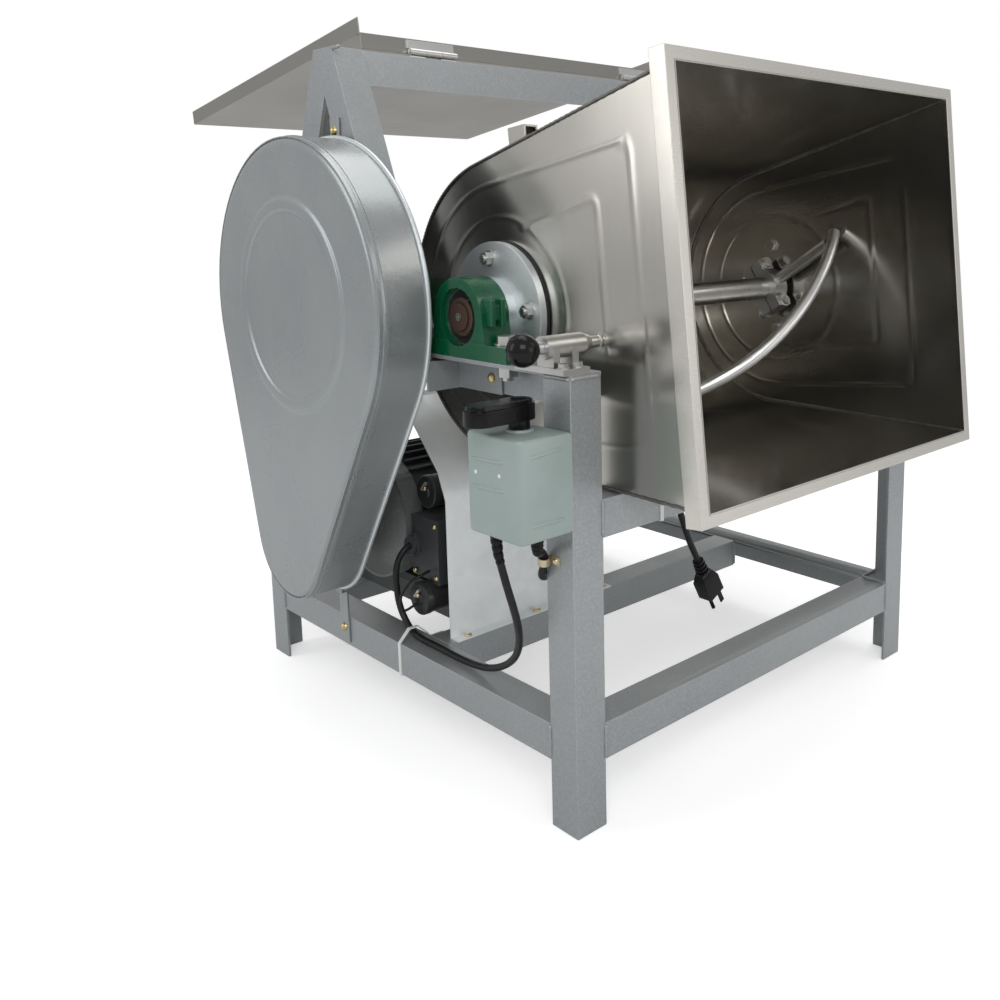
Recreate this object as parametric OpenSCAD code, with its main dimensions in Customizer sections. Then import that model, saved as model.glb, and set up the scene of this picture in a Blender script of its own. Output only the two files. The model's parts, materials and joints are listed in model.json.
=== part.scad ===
// Tilting dough mixer: welded angle-steel stand, stainless hopper that tips forward on its shaft,
// hinged lid, belt and gear drive under guards, motor behind a splash shield, drum switch on a post.
// Frame: +X along the mixing shaft towards the gear side, +Y to the back, +Z up.

/* [Stand] */
// Width of the stand over the posts
frame_w = 620; // [600:5:660]
// Depth of the stand over the posts
frame_d = 660; // [640:5:720]
// Height of the corner posts
post_h = 473; // [440:1:520]
// Width of each leg of the angle steel
angle_w = 40; // [36:1:42]
// Thickness of the angle steel
angle_t = 4; // [3:0.5:5]
// Height of the top of the lower rails
low_rail_h = 113; // [100:1:125]
// Distance from the front of the stand to the mixing shaft
shaft_inset = 180; // [175:1:190]
// Height of the top of the lid crossbar above the floor
crossbar_h = 822; // [820:1:830]
// Width of the top of each lid stand
a_top_w = 42; // [40:1:50]
// Width of the foot of each lid stand
a_foot_w = 320; // [310:1:330]

/* [Hopper] */
// Width of the mouth over the rim, along the shaft
mouth_w = 517; // [500:1:520]
// Depth of the mouth over the rim, across the shaft
mouth_d = 437; // [420:1:437]
// Height of the mouth above the shaft
mouth_rise = 279; // [260:1:279]
// How far the mouth sits behind the shaft when upright
mouth_off = 8; // [0:1:8]
// Radius of the round bottom
hopper_r = 167; // [162:1:168]
// Thickness of the stainless sheet
sheet_t = 1.5; // [1:0.1:2]
// Width of the folded rim
rim_w = 12; // [10:1:14]
// Depth of the folded rim
rim_h = 20; // [15:1:30]
// Angle that the hopper is tipped forward from upright
tip_angle = 84; // [80:1:86]

/* [Mixing shaft] */
// Diameter of the mixing shaft
shaft_d = 30; // [25:1:32]
// Height of the pillow block centre over its foot
pillow_h = 42.9; // [42:0.1:46]
// Radius that the agitator bar sweeps
agitator_r = 130; // [110:1:134]
// Diameter of the agitator bar
agitator_d = 16; // [12:1:18]
// Distance between the outer agitator arms
arm_span = 448; // [400:1:452]

/* [Drive] */
// Module of the gears
gear_module = 6; // [6:0.5:6]
// Teeth on the large gear
gear_teeth = 59; // [57:1:60]
// Teeth on the pinion
pinion_teeth = 14; // [13:1:15]
// Face width of the gears
gear_face = 28; // [20:1:32]
// Outside radius of the large belt pulley
big_pulley_r = 150; // [130:1:160]
// Outside radius of the motor pulley
small_pulley_r = 50; // [40:1:60]
// Width of the pulleys
pulley_w = 26; // [22:1:30]
// Radius of the round end of the belt guard
guard_r = 192; // [185:1:200]
// Radius of the narrow end of the belt guard
guard_small_r = 80; // [72:1:84]
// Depth of the belt guard
guard_depth = 74; // [68:1:84]

/* [Motor] */
// Height of the motor shaft over its feet
motor_h = 100; // [96:1:104]
// Height of the slide bars under the motor
slide_h = 25; // [20:1:28]
// Radius of the motor body over its fins
motor_r = 88; // [80:1:92]
// Length of the finned motor body
motor_len = 170; // [160:1:190]
// Distance of the motor shaft behind the middle of the stand
motor_y = 118; // [112:1:124]

/* [Lid] */
// Length of the lid from its hinge edge to its front
lid_len = 510; // [480:1:520]
// Depth of the lid's folded edge
lid_edge = 20; // [12:1:22]
// Thickness of the lid sheet
lid_t = 1.2; // [1:0.1:1.5]
// How far the open lid droops below level
lid_droop = 8.5; // [5:0.5:10]

/* [Switch] */
// Depth of the switch box outwards from the post
switch_out = 63; // [58:1:70]
// Width of the switch box along the post face
switch_w = 82; // [76:1:90]
// Height of the switch box
switch_h = 96; // [90:1:100]
// Length of the handle from its pivot to the middle of its round tip
handle_len = 46; // [40:1:50]

/* [Lead] */
// Diameter of the mains lead and the motor cable
cord_d = 8; // [7:0.5:8.5]

/* [Hidden] */
$fn = 64;

// One overrun for every cut, one running gap for shafts in bores and one gap for bolts in holes
over = 1;
run_gap = 0.05;
fit_gap = 0.1;
bolt_gap = 0.4;

// Stand
x_out = frame_w / 2;
y_out = frame_d / 2;
rail_top = post_h + angle_t;
axis_y = shaft_inset - y_out;
axis_z = rail_top + pillow_h;
root_r = 4;
rest_gap = 3;
front_rail_h = floor(axis_z - hopper_r - rest_gap);
motor_rail_front = 57;
motor_rail_rear = 245;
a_middle = 101;
crossbar_y = 86;

// Drive line
counter_foot_h = 36.5;
counter_z = rail_top + counter_foot_h;
gear_r = gear_module * gear_teeth / 2;
pinion_r = gear_module * pinion_teeth / 2;
gear_centres = gear_r + pinion_r;
counter_y = axis_y + sqrt(pow(gear_centres, 2) - pow(axis_z - counter_z, 2));
counter_d = 25;
motor_z = low_rail_h + slide_h + motor_h;
motor_shaft_d = 24;
belt_plane = x_out + 35;
gear_plane = x_out + 30;
gear_x = gear_plane - gear_face / 2;
guard_lift = 10;
guard_back = 4;
guard_off = 10;
guard_t = 1.5;
guard_c = [counter_y + guard_back, counter_z + guard_lift];
guard_small_c = [motor_y, motor_z];
cover_depth = 64;
cover_gap = 8;
groove_deep = 11;
mesh_angle = atan2(counter_z - axis_z, counter_y - axis_y);
gear_root_share = 1.25;
gear_low_share = 0.5;
gear_tip_share = 0.8;
backlash_share = 0.06;
clamp_bolt_d = 8;

// Motor mounting
motor_x = -240;
fin_h = 8;
slide_places = [-205, -105];
slide_bolt_y = 80;
slide_bolt_d = 10;

// Hopper
body_x = mouth_w / 2 - rim_w;
mouth_half = mouth_d / 2 - rim_w;
gasket_t = 3;
flange_t = 9;
flange_r = 78;
hub_r = 40;
flange_bolt_r = 60;
flange_bolt_d = 8;
bead_h = 1.2;
bead_w = 4;

// Bearing blocks
block_w = 38;
block_x = x_out - angle_w / 2;
boss_w = 36;
boss_r = 42;
foot_len = 165;
foot_pitch = 121;
foot_t = 17;
insert_r = 31;
small_foot_t = 15;
small_foot_len = 140;
small_foot_pitch = 105;
small_boss_r = 36;
small_insert_r = 26;
pillow_bolt_d = 12;

// Lid and hinge
lid_rear_y = crossbar_y - 4;
knuckle_r = 4.5;
hinge_pin_r = 2;
leaf_t = 2;
hinge_y = lid_rear_y + lid_t + leaf_t + knuckle_r - 1;
hinge_z = crossbar_h + knuckle_r + 1.5;
lid_gap = 12;
lid_z = axis_z + mouth_rise + lid_gap;
lid_side_gap = 1.5;
lid_half = mouth_w / 2 + lid_side_gap + lid_t;
lid_turn = 180 + lid_droop;
hinge_len = 70;
hinge_places = [-162, 211];

// Lock
lock_y = 28 - y_out;
lock_z = rail_top + 24.5;
pin_r = 6;
pin_gap = 0.5;
pin_end = body_x + bead_h + pin_gap;
lock_plate_t = 6;

// Switch
switch_y = -y_out;
switch_z = front_rail_h - 25;
handle_y = switch_y + switch_w / 2;
handle_x = x_out + switch_out * 0.46;
switch_lid_t = 3;
handle_wide_r = 15.5;
stem_r = 10.5;

// The origin is the middle of the foot of the box round the machine
left_end = handle_x + handle_len + handle_wide_r;
right_end = x_out + cover_depth;
mouth_low = mouth_off - mouth_d / 2;
front_end = axis_y + mouth_low * cos(tip_angle) - mouth_rise * sin(tip_angle);
lid_tip = lid_len + hinge_y - lid_rear_y;
back_end = hinge_y + lid_tip * cos(lid_droop) + (hinge_z - lid_z + lid_edge) * sin(lid_droop);
mid_x = (right_end - left_end) / 2;
mid_y = (front_end + back_end) / 2;

// Lead routes, in millimetres from the middle of the stand
cable_points = [
    [-350, -262, 324], [-350, -262, 312], [-350, -264, 298], [-348, -267, 282], [-345, -271, 262],
    [-339, -272, 240], [-331, -268, 218], [-321, -257, 196], [-311, -240, 174], [-303, -220, 156],
    [-297, -196, 140], [-293, -170, 128], [-290, -140, 120], [-290, -110, 118], [-290, -80, 118],
    [-290, -50, 118], [-290, -28, 118], [-290, -8, 122], [-290, 7, 132], [-291, 17, 148],
    [-291, 22, 166], [-291, 23, 186], [-288, 22, 203], [-281, 20, 215], [-273, 20, 220], [-262, 20, 220]
];
cord_points = [
    [-338, -310, 324], [-338, -310, 314], [-336, -308, 306.5], [-330.5, -304, 302.5],
    [-323.5, -299, 300.5], [-318.6, -295.8, 295.8], [-317.2, -294.6, 289.5], [-316.6, -292.8, 282],
    [-315.2, -288.6, 274.5], [-310, -284, 268.5], [-303, -281, 267], [-296, -278, 270],
    [-290, -275, 278], [-284, -271, 290], [-278, -268, 303], [-271, -266, 316], [-263, -265, 327],
    [-253, -264, 332.5], [-244, -264, 333]
];
tail_points = [
    [-116, -264, 313], [-106, -264, 313], [-97, -264, 307], [-90, -264, 296], [-83, -263, 281],
    [-76, -262, 266], [-69, -261, 251], [-62, -260, 238], [-54, -260, 223], [-49, -260, 214]
];
cable_end = cable_points[len(cable_points) - 1];
hank_left = -236;
hank_right = -116;
hank_fold_r = 26;
hank_y = -290;
hank_top = 333;
hank_turns = 2;
hank_step = 8.8;
plug_at = tail_points[len(tail_points) - 1];
plug_lean = 28;

// Plane shapes and placing helpers
function unit(v) = v / norm(v);
function tangent(p, r, side) =
    let (a = atan2(p[1], p[0]) + side * acos(r / norm(p))) [r * cos(a), r * sin(a)];
function inset_point(p, t, depth, extra) = p - depth * unit(t) + extra * unit(p - t);

// Two circles joined by their outer tangents, as one closed line
function arc_points(c, r, from, to, n) =
    [for (i = [0:n]) let (a = from + (to - from) * i / n) c + r * [cos(a), sin(a)]];
function egg_line(c1, r1, c2, r2) =
    let (base = atan2(c2[1] - c1[1], c2[0] - c1[0]), lean = acos((r1 - r2) / norm(c2 - c1)))
    concat(
        arc_points(c1, r1, base + lean, base + 360 - lean, 48),
        arc_points(c2, r2, base - lean, base + lean, 24));

module egg(c1, r1, c2, r2) {
    polygon(egg_line(c1, r1, c2, r2));
}

// A plane shape drawn in Y and Z, pushed out along X
module along_x(x, length) {
    translate([x, 0, 0]) rotate([90, 0, 90]) linear_extrude(length) children();
}

module place() {
    translate([-mid_x, -mid_y, 0]) children();
}

module in_hopper() {
    translate([0, axis_y, axis_z]) rotate([tip_angle, 0, 0]) children();
}

module both_sides() {
    children();
    mirror([1, 0, 0]) children();
}

// Rod along X from one place to another
module rod_x(x1, x2, r) {
    translate([x1, 0, 0]) rotate([0, 90, 0]) cylinder(r = r, h = x2 - x1);
}

module slot(length, r) {
    translate([-length / 2, 0]) circle(r);
    translate([length / 2, 0]) circle(r);
    translate([-length / 2, -r]) square([length, 2 * r]);
}

module rounded(size, r) {
    translate([r, 0]) square([size[0] - 2 * r, size[1]]);
    translate([0, r]) square([size[0], size[1] - 2 * r]);
    for (x = [r, size[0] - r], y = [r, size[1] - r]) translate([x, y]) circle(r);
}

// Hexagon bolt with its head on z = 0 and its shank going down, with a nut if asked
module hex_bolt(d, grip, nut = true) {
    head_share = 0.65;
    across_share = 0.95;
    washer_share = 0.15;
    washer_r_share = 1.1;
    tail_share = 0.35;
    cylinder(r = d * washer_r_share, h = d * washer_share);
    translate([0, 0, d * washer_share]) cylinder(r = d * across_share, h = d * head_share, $fn = 6);
    translate([0, 0, -grip]) cylinder(d = d, h = grip + d * washer_share);
    if (nut) {
        translate([0, 0, -grip - d * washer_share]) cylinder(r = d * washer_r_share, h = d * washer_share);
        translate([0, 0, -grip - d]) cylinder(r = d * across_share, h = d * (1 - washer_share), $fn = 6);
        translate([0, 0, -grip - d - d * tail_share]) cylinder(d = d, h = d * (1 + tail_share));
    }
}

// Small domed machine screw on z = 0
module small_screw(d, grip) {
    translate([0, 0, -grip]) cylinder(d = d, h = grip + d / 8);
    intersection() {
        translate([0, 0, -d / 4]) sphere(r = d);
        cylinder(r = d, h = d);
    }
}

// Angle steel: its corner runs along +X, one leg lies level behind it and one hangs below it
module angle_bar(length, level_trim = 0, hang_trim = 0) {
    translate([level_trim, 0, -angle_t]) cube([length - 2 * level_trim, angle_w, angle_t]);
    translate([hang_trim, 0, -angle_w]) cube([length - 2 * hang_trim, angle_t, angle_w]);
    translate([max(level_trim, hang_trim), angle_t, -angle_t])
        rotate([90, 0, 90])
            linear_extrude(length - 2 * max(level_trim, hang_trim))
                mirror([0, 1]) difference() {
                    square(root_r);
                    translate([root_r, root_r]) circle(root_r);
                }
}

module angle_section() {
    square([angle_w, angle_t]);
    square([angle_t, angle_w]);
    translate([angle_t, angle_t]) difference() {
        square(root_r);
        translate([root_r, root_r]) circle(root_r);
    }
}

// Stand
module post() {
    color("lightsteelblue")
        translate([-x_out, -y_out, 0]) linear_extrude(post_h) angle_section();
}

module lower_rails() {
    color("lightsteelblue") {
        translate([angle_w - x_out, -y_out, low_rail_h]) angle_bar(frame_w - 2 * angle_w);
        mirror([0, 1, 0]) translate([angle_w - x_out, -y_out, low_rail_h]) angle_bar(frame_w - 2 * angle_w);
        both_sides() translate([-x_out, y_out - angle_w, low_rail_h])
            rotate([0, 0, -90]) angle_bar(frame_d - 2 * angle_w);
    }
}

module motor_rails() {
    color("lightsteelblue") {
        translate([angle_w - x_out, -motor_rail_front, low_rail_h]) angle_bar(frame_w - 2 * angle_w);
        translate([angle_w - x_out, motor_rail_rear, low_rail_h])
            mirror([0, 1, 0]) angle_bar(frame_w - 2 * angle_w);
    }
}

module front_upper_rail() {
    color("lightsteelblue")
        translate([angle_w - x_out, -y_out, front_rail_h]) angle_bar(frame_w - 2 * angle_w);
}

module block_bolts(y, pitch) {
    for (s = [-1, 1]) translate([-block_x, y + s * pitch / 2, 0]) children();
}

module side_rail() {
    color("lightsteelblue") difference() {
        translate([angle_w - x_out, y_out, rail_top]) rotate([0, 0, -90])
            mirror([0, 1, 0]) angle_bar(frame_d, 0, angle_t);
        block_bolts(axis_y, foot_pitch) translate([0, 0, post_h - over])
            cylinder(r = pillow_bolt_d / 2 + bolt_gap, h = angle_t + 2 * over);
        block_bolts(counter_y, small_foot_pitch) translate([0, 0, post_h - over])
            cylinder(r = pillow_bolt_d / 2 + bolt_gap, h = angle_t + 2 * over);
    }
}

// Lid stand: two leaning angle legs on a side rail, joined at the top
module lid_stand() {
    rise = crossbar_h - rail_top;
    lean = atan((a_foot_w - a_top_w) / 2 / rise);
    reach = rise / cos(lean) + 2 * angle_w;
    color("lightsteelblue") intersection() {
        translate([-x_out, a_middle, 0]) {
            translate([0, -a_foot_w / 2, rail_top]) rotate([-lean, 0, 0])
                translate([0, 0, -angle_w]) linear_extrude(reach) angle_section();
            mirror([0, 1, 0]) translate([0, -a_foot_w / 2, rail_top]) rotate([-lean, 0, 0])
                translate([0, 0, -angle_w]) linear_extrude(reach) angle_section();
        }
        translate([-x_out - over, a_middle - a_foot_w, rail_top])
            cube([angle_w + 2 * over, 2 * a_foot_w, rise]);
    }
}

module lid_crossbar() {
    color("lightsteelblue") translate([angle_t - x_out, crossbar_y, crossbar_h])
        angle_bar(frame_w - 2 * angle_t, angle_w - angle_t);
}

// Lid, drawn shut and turned back about its hinge
module lid_turned() {
    translate([0, hinge_y, hinge_z]) rotate([-lid_turn, 0, 0]) translate([0, -hinge_y, -hinge_z]) children();
}

module lid() {
    front = lid_rear_y - lid_len;
    hole_d = 6;
    hole_x = 49;
    hole_back = 88;
    color("lightgray") lid_turned() difference() {
        union() {
            translate([-lid_half, front, lid_z - lid_t]) cube([2 * lid_half, lid_len, lid_t]);
            translate([-lid_half, front, lid_z - lid_edge]) cube([2 * lid_half, lid_t, lid_edge]);
            both_sides() translate([-lid_half, front, lid_z - lid_edge]) cube([lid_t, lid_len, lid_edge]);
            translate([-lid_half, lid_rear_y, lid_z - lid_t])
                cube([2 * lid_half, lid_t, hinge_z - lid_z + lid_t + over]);
        }
        translate([hole_x, front + hole_back, lid_z - lid_t - over])
            cylinder(d = hole_d, h = lid_t + 2 * over);
    }
}

module at_hinges() {
    for (x = hinge_places) translate([x, 0, 0]) children();
}

module lid_hinge_fixed() {
    leaf_w = 28;
    third = hinge_len / 3;
    color("silver") at_hinges() {
        translate([0, hinge_y, hinge_z]) rod_x(-hinge_len / 2 - 1, hinge_len / 2 + 1, hinge_pin_r);
        union() {
            translate([-hinge_len / 2, hinge_y + knuckle_r + 1, crossbar_h])
                cube([hinge_len, leaf_w - knuckle_r - 1, leaf_t]);
            for (s = [-1, 1]) translate([s * third - third / 2 + (s < 0 ? 0 : fit_gap), 0, 0]) {
                translate([0, hinge_y, hinge_z]) rod_x(0, third - fit_gap, knuckle_r);
                translate([0, hinge_y, crossbar_h]) cube([third - fit_gap, knuckle_r + 2, leaf_t]);
            }
        }
    }
}

module lid_hinge_moving() {
    third = hinge_len / 3;
    leaf_drop = hinge_z - lid_z - 1;
    color("silver") lid_turned() at_hinges() difference() {
        union() {
            translate([fit_gap - third / 2, hinge_y, hinge_z]) rod_x(0, third - 2 * fit_gap, knuckle_r);
            translate([fit_gap - third / 2, lid_rear_y + lid_t, hinge_z - leaf_drop])
                cube([third - 2 * fit_gap, leaf_t, leaf_drop]);
            translate([-hinge_len / 2, lid_rear_y + lid_t, hinge_z - leaf_drop])
                cube([hinge_len, leaf_t, leaf_drop - knuckle_r - 1]);
        }
        translate([0, hinge_y, hinge_z]) rod_x(-hinge_len, hinge_len, hinge_pin_r + run_gap);
    }
}

// Hopper, drawn upright about its shaft and tipped forward
module wall_outline(r, half, top, inset = 0, extra = 0) {
    back = [mouth_off + half, top];
    front = [mouth_off - half, top];
    back_t = tangent(back, r, -1);
    front_t = tangent(front, r, 1);
    circle(r - inset, $fn = 96);
    polygon([
        back_t - inset * unit(back_t), inset_point(back, back_t, inset, extra),
        inset_point(front, front_t, inset, extra), front_t - inset * unit(front_t)
    ]);
}

module hopper_outline(inset = 0, extra = 0) {
    wall_outline(hopper_r, mouth_half, mouth_rise, inset, extra);
}

// Pressed beads: an outer loop, a ring round the hub and an inner loop above the ring
module side_beads() {
    outer_r_share = 0.85;
    outer_half_share = 0.727;
    outer_top_share = 0.774;
    ring_share = 0.635;
    inner_top_share = 0.59;
    inner_foot_share = 0.2;
    front_top_share = -0.43;
    back_top_share = 0.533;
    foot_share = 0.44;
    r = hopper_r * outer_r_share;
    ring = hopper_r * ring_share;
    top = mouth_rise * inner_top_share;
    foot = mouth_rise * inner_foot_share;
    front = mouth_half * front_top_share;
    back = mouth_half * back_top_share;
    low = mouth_half * foot_share;
    difference() {
        wall_outline(r, mouth_half * outer_half_share, mouth_rise * outer_top_share);
        wall_outline(r, mouth_half * outer_half_share, mouth_rise * outer_top_share, bead_w, -bead_w);
    }
    difference() {
        circle(ring, $fn = 96);
        circle(ring - bead_w, $fn = 96);
    }
    polygon([
        [-low, foot], [front, top], [back, top], [low, foot], [low - bead_w, foot],
        [back - bead_w, top - bead_w], [front + bead_w, top - bead_w], [bead_w - low, foot]
    ]);
}

// The lock pin's place, seen in the tipped hopper and in the upright one
function pin_spot(turn) =
    let (y = lock_y - axis_y, z = lock_z - axis_z)
    [y * cos(turn) + z * sin(turn), z * cos(turn) - y * sin(turn)];

module hopper_side(indexed) {
    color("silver") in_hopper() difference() {
        union() {
            along_x(-body_x, sheet_t) hopper_outline();
            along_x(-body_x - bead_h, bead_h) side_beads();
        }
        rod_x(-body_x - over, over, shaft_d / 2 + gasket_t);
        for (k = [0:3]) rotate([90 * k, 0, 0]) translate([0, flange_bolt_r, 0])
            rod_x(-body_x - over, over, flange_bolt_d / 2 + fit_gap);
        if (indexed) for (turn = [0, tip_angle]) translate([0, pin_spot(turn)[0], pin_spot(turn)[1]])
            rod_x(-body_x - bead_h - over, over - body_x + sheet_t, pin_r + pin_gap);
    }
}

module hopper_wrap() {
    color("silver") in_hopper() along_x(sheet_t - body_x, 2 * (body_x - sheet_t)) difference() {
        hopper_outline();
        hopper_outline(sheet_t, over);
    }
}

// Folded edge: a channel round the mouth with its open side to the sheet
module hopper_rim() {
    low = mouth_rise - rim_h;
    color("silver") in_hopper() difference() {
        translate([-mouth_w / 2, mouth_off - mouth_d / 2, low]) cube([mouth_w, mouth_d, rim_h]);
        translate([-body_x, mouth_off - mouth_half, low - over])
            cube([2 * body_x, 2 * mouth_half, rim_h + 2 * over]);
        translate([sheet_t - mouth_w / 2, mouth_off - mouth_d / 2 + sheet_t, low + sheet_t])
            cube([mouth_w - 2 * sheet_t, mouth_d - 2 * sheet_t, rim_h - 2 * sheet_t]);
    }
}

// Folded bracket near the mouth for lifting the hopper back
module hopper_catch() {
    catch_w = 18;
    catch_h = 28;
    catch_low = 36;
    catch_out = 194;
    catch_t = 2.5;
    color("silver") in_hopper() difference() {
        translate([-body_x, 0, catch_low]) cube([catch_w, catch_out, catch_h]);
        translate([catch_t - body_x, -over, catch_low + catch_t])
            cube([catch_w - 2 * catch_t, catch_out - catch_t + over, catch_h]);
        along_x(-body_x - over, catch_w + 2 * over) hopper_outline();
    }
}

module hopper_gaskets() {
    color("dimgray") in_hopper() both_sides() difference() {
        rod_x(body_x, body_x + gasket_t, flange_r + 1);
        rod_x(body_x - over, body_x + gasket_t + over, shaft_d / 2 + gasket_t);
        for (k = [0:3]) rotate([90 * k, 0, 0]) translate([0, flange_bolt_r, 0])
            rod_x(body_x - over, body_x + gasket_t + over, flange_bolt_d / 2 + fit_gap);
    }
}

module hopper_flanges() {
    disc = body_x + gasket_t;
    hub_end = block_x - block_w / 2 - 1;
    color("gray") in_hopper() both_sides() difference() {
        union() {
            rod_x(disc, disc + flange_t, flange_r);
            rod_x(disc, hub_end, hub_r);
        }
        rod_x(disc - over, hub_end + over, shaft_d / 2 + run_gap);
        for (k = [0:3]) rotate([90 * k, 0, 0]) translate([0, flange_bolt_r, 0])
            rod_x(disc - over, disc + flange_t + over, flange_bolt_d / 2 + fit_gap);
    }
}

module hopper_bolts() {
    grip = sheet_t + gasket_t + flange_t;
    color("goldenrod") in_hopper() both_sides()
        for (k = [0:3]) rotate([90 * k, 0, 0]) translate([sheet_t - body_x, flange_bolt_r, 0])
            rotate([0, 90, 0]) hex_bolt(flange_bolt_d, grip);
}

// Bearing block: foot, round boss and grease boss
module bearing_block(y, rise, length, pitch, thick, boss, insert) {
    grease_r = 6;
    grease_h = 7;
    nipple_r = 3;
    neck_share = 1.15;
    color("seagreen") translate([-block_x, y, rail_top]) difference() {
        union() {
            translate([-block_w / 2, -length / 2, 0]) cube([block_w, length, thick]);
            along_x(-boss_w / 2, boss_w) {
                translate([0, rise]) circle(boss, $fn = 96);
                polygon([[-boss * neck_share, 0], [boss * neck_share, 0], [boss, rise], [-boss, rise]]);
            }
            translate([0, 0, rise + boss - 2]) cylinder(r = grease_r, h = grease_h);
            translate([0, 0, rise + boss - 2]) cylinder(r = nipple_r, h = 2 * grease_h);
        }
        translate([0, 0, rise]) rod_x(-block_w, block_w, insert);
        for (s = [-1, 1]) translate([0, s * pitch / 2, -over])
            cylinder(r = pillow_bolt_d / 2 + bolt_gap, h = thick + 2 * over);
    }
}

module main_block() {
    bearing_block(axis_y, pillow_h, foot_len, foot_pitch, foot_t, boss_r, insert_r);
}

module counter_block() {
    bearing_block(counter_y, counter_foot_h, small_foot_len, small_foot_pitch, small_foot_t,
        small_boss_r, small_insert_r);
}

// Bearing insert: outer ring with shields and a longer inner ring
module insert(y, z, r, bore_r) {
    ring_w = 18;
    inner_w = 28;
    inner_share = 0.66;
    translate([-block_x, y, z]) difference() {
        union() {
            rod_x(-ring_w / 2, ring_w / 2, r);
            rod_x(-inner_w / 2, inner_w / 2, r * inner_share);
        }
        rod_x(-block_w, block_w, bore_r + run_gap);
    }
}

module bearing_inserts() {
    color("silver") both_sides() {
        insert(axis_y, axis_z, insert_r, shaft_d / 2);
        insert(counter_y, counter_z, small_insert_r, counter_d / 2);
    }
}

module pillow_bolts() {
    color("darkgray") both_sides() {
        block_bolts(axis_y, foot_pitch) translate([0, 0, rail_top + foot_t])
            hex_bolt(pillow_bolt_d, foot_t + angle_t);
        block_bolts(counter_y, small_foot_pitch) translate([0, 0, rail_top + small_foot_t])
            hex_bolt(pillow_bolt_d, small_foot_t + angle_t);
    }
}

// Mixing shaft and agitator
module main_shaft() {
    drill_r = 4;
    shaft_end = gear_x + gear_face + 3;
    color("silver") translate([0, axis_y, axis_z]) difference() {
        rod_x(-block_x - block_w / 2 + 3, shaft_end, shaft_d / 2);
        translate([-block_x - block_w / 2 + 3 - over, 0, 0]) rotate([0, 90, 0])
            cylinder(r1 = drill_r + over, r2 = 0, h = drill_r + over);
    }
}

function bar_angle(x) = 148 + (arm_span / 2 - x) / arm_span * 180;
function bar_point(x) = [x, agitator_r * cos(bar_angle(x)), agitator_r * sin(bar_angle(x))];
collar_r = 27;
collar_w = 26;
arm_places = [-arm_span / 2, 0, arm_span / 2];

// Three arms welded to split collars clamped on the shaft
module agitator_arms() {
    ear_w = 34;
    ear_h = 14;
    split = 2;
    color("silver") translate([0, axis_y, axis_z]) for (x = arm_places) {
        turn = bar_angle(x);
        translate([x, 0, 0]) rotate([turn, 0, 0]) difference() {
            union() {
                rod_x(-collar_w / 2, collar_w / 2, collar_r);
                rotate([-90, 0, 0]) cylinder(d = agitator_d, h = agitator_r - agitator_d / 2);
                for (s = [-1, 1]) translate([-collar_w / 2, -ear_w / 2, s * (collar_r + split) - ear_h / 2])
                    cube([collar_w, ear_w, ear_h]);
            }
            rod_x(-collar_w, collar_w, shaft_d / 2);
            translate([-collar_w, -split / 2, -2 * collar_r]) cube([2 * collar_w, split, 4 * collar_r]);
            for (s = [-1, 1]) translate([0, -ear_w, s * (collar_r + split + 1)]) rotate([-90, 0, 0])
                cylinder(d = clamp_bolt_d + 2 * fit_gap, h = 2 * ear_w);
        }
    }
}

module clamp_bolts() {
    ear_w = 34;
    split = 2;
    color("gray") translate([0, axis_y, axis_z]) for (x = arm_places) translate([x, 0, 0])
        rotate([bar_angle(x), 0, 0]) for (s = [-1, 1])
            translate([0, ear_w / 2, s * (collar_r + split + 1)]) rotate([-90, 0, 0])
                hex_bolt(clamp_bolt_d, ear_w);
}

// Bar wound half a turn round the shaft
module agitator_bar() {
    past = 12;
    steps = 34;
    half = arm_span / 2 + past;
    color("silver") translate([0, axis_y, axis_z])
        tube([for (i = [0:steps]) bar_point(half - i * 2 * half / steps)], agitator_d / 2, 16);
}

// Gears with involute flanks
function involute(r, base) = let (a = acos(min(1, base / r))) tan(a) * 180 / PI - a;
function flank(r, pitch, teeth) =
    let (base = pitch * cos(20), half = 90 / teeth - backlash_share * 90 / teeth)
    half + involute(pitch, base) - involute(max(r, base), base);
function gear_points(teeth, phase) =
    let (
        pitch = gear_module * teeth / 2,
        radii = [
            pitch - gear_root_share * gear_module, pitch - gear_low_share * gear_module,
            pitch, pitch + gear_tip_share * gear_module
        ]
    )
    [for (i = [0:teeth - 1], k = [0:7])
        let (r = radii[k < 4 ? k : 7 - k], side = k < 4 ? -1 : 1)
        let (a = phase + 360 * i / teeth + side * flank(r, pitch, teeth))
        r * [cos(a), sin(a)]];

module main_gear() {
    holes = 6;
    hub_share = 0.25;
    hole_share = 0.6;
    hole_r_share = 0.2;
    recess = 8;
    color("dimgray") translate([0, axis_y, axis_z]) difference() {
        union() {
            along_x(gear_x, gear_face) difference() {
                polygon(gear_points(gear_teeth, mesh_angle));
                circle(gear_r * 0.86);
            }
            rod_x(gear_x + recess, gear_x + gear_face - recess, gear_r * 0.9);
            rod_x(gear_x, gear_x + gear_face, gear_r * hub_share);
        }
        rod_x(gear_x - over, gear_x + gear_face + over, shaft_d / 2);
        for (k = [0:holes - 1]) rotate([360 * k / holes, 0, 0]) translate([0, gear_r * hole_share, 0])
            rod_x(gear_x, gear_x + gear_face, gear_r * hole_r_share);
    }
}

module pinion_gear() {
    color("dimgray") translate([0, counter_y, counter_z]) difference() {
        along_x(gear_x, gear_face) polygon(gear_points(pinion_teeth, mesh_angle + 180 + 180 / pinion_teeth));
        rod_x(gear_x - over, gear_x + gear_face + over, counter_d / 2);
    }
}

module countershaft() {
    color("silver") translate([0, counter_y, counter_z])
        rod_x(-belt_plane - pulley_w / 2 - 3, gear_x + gear_face + 3, counter_d / 2);
}

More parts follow.
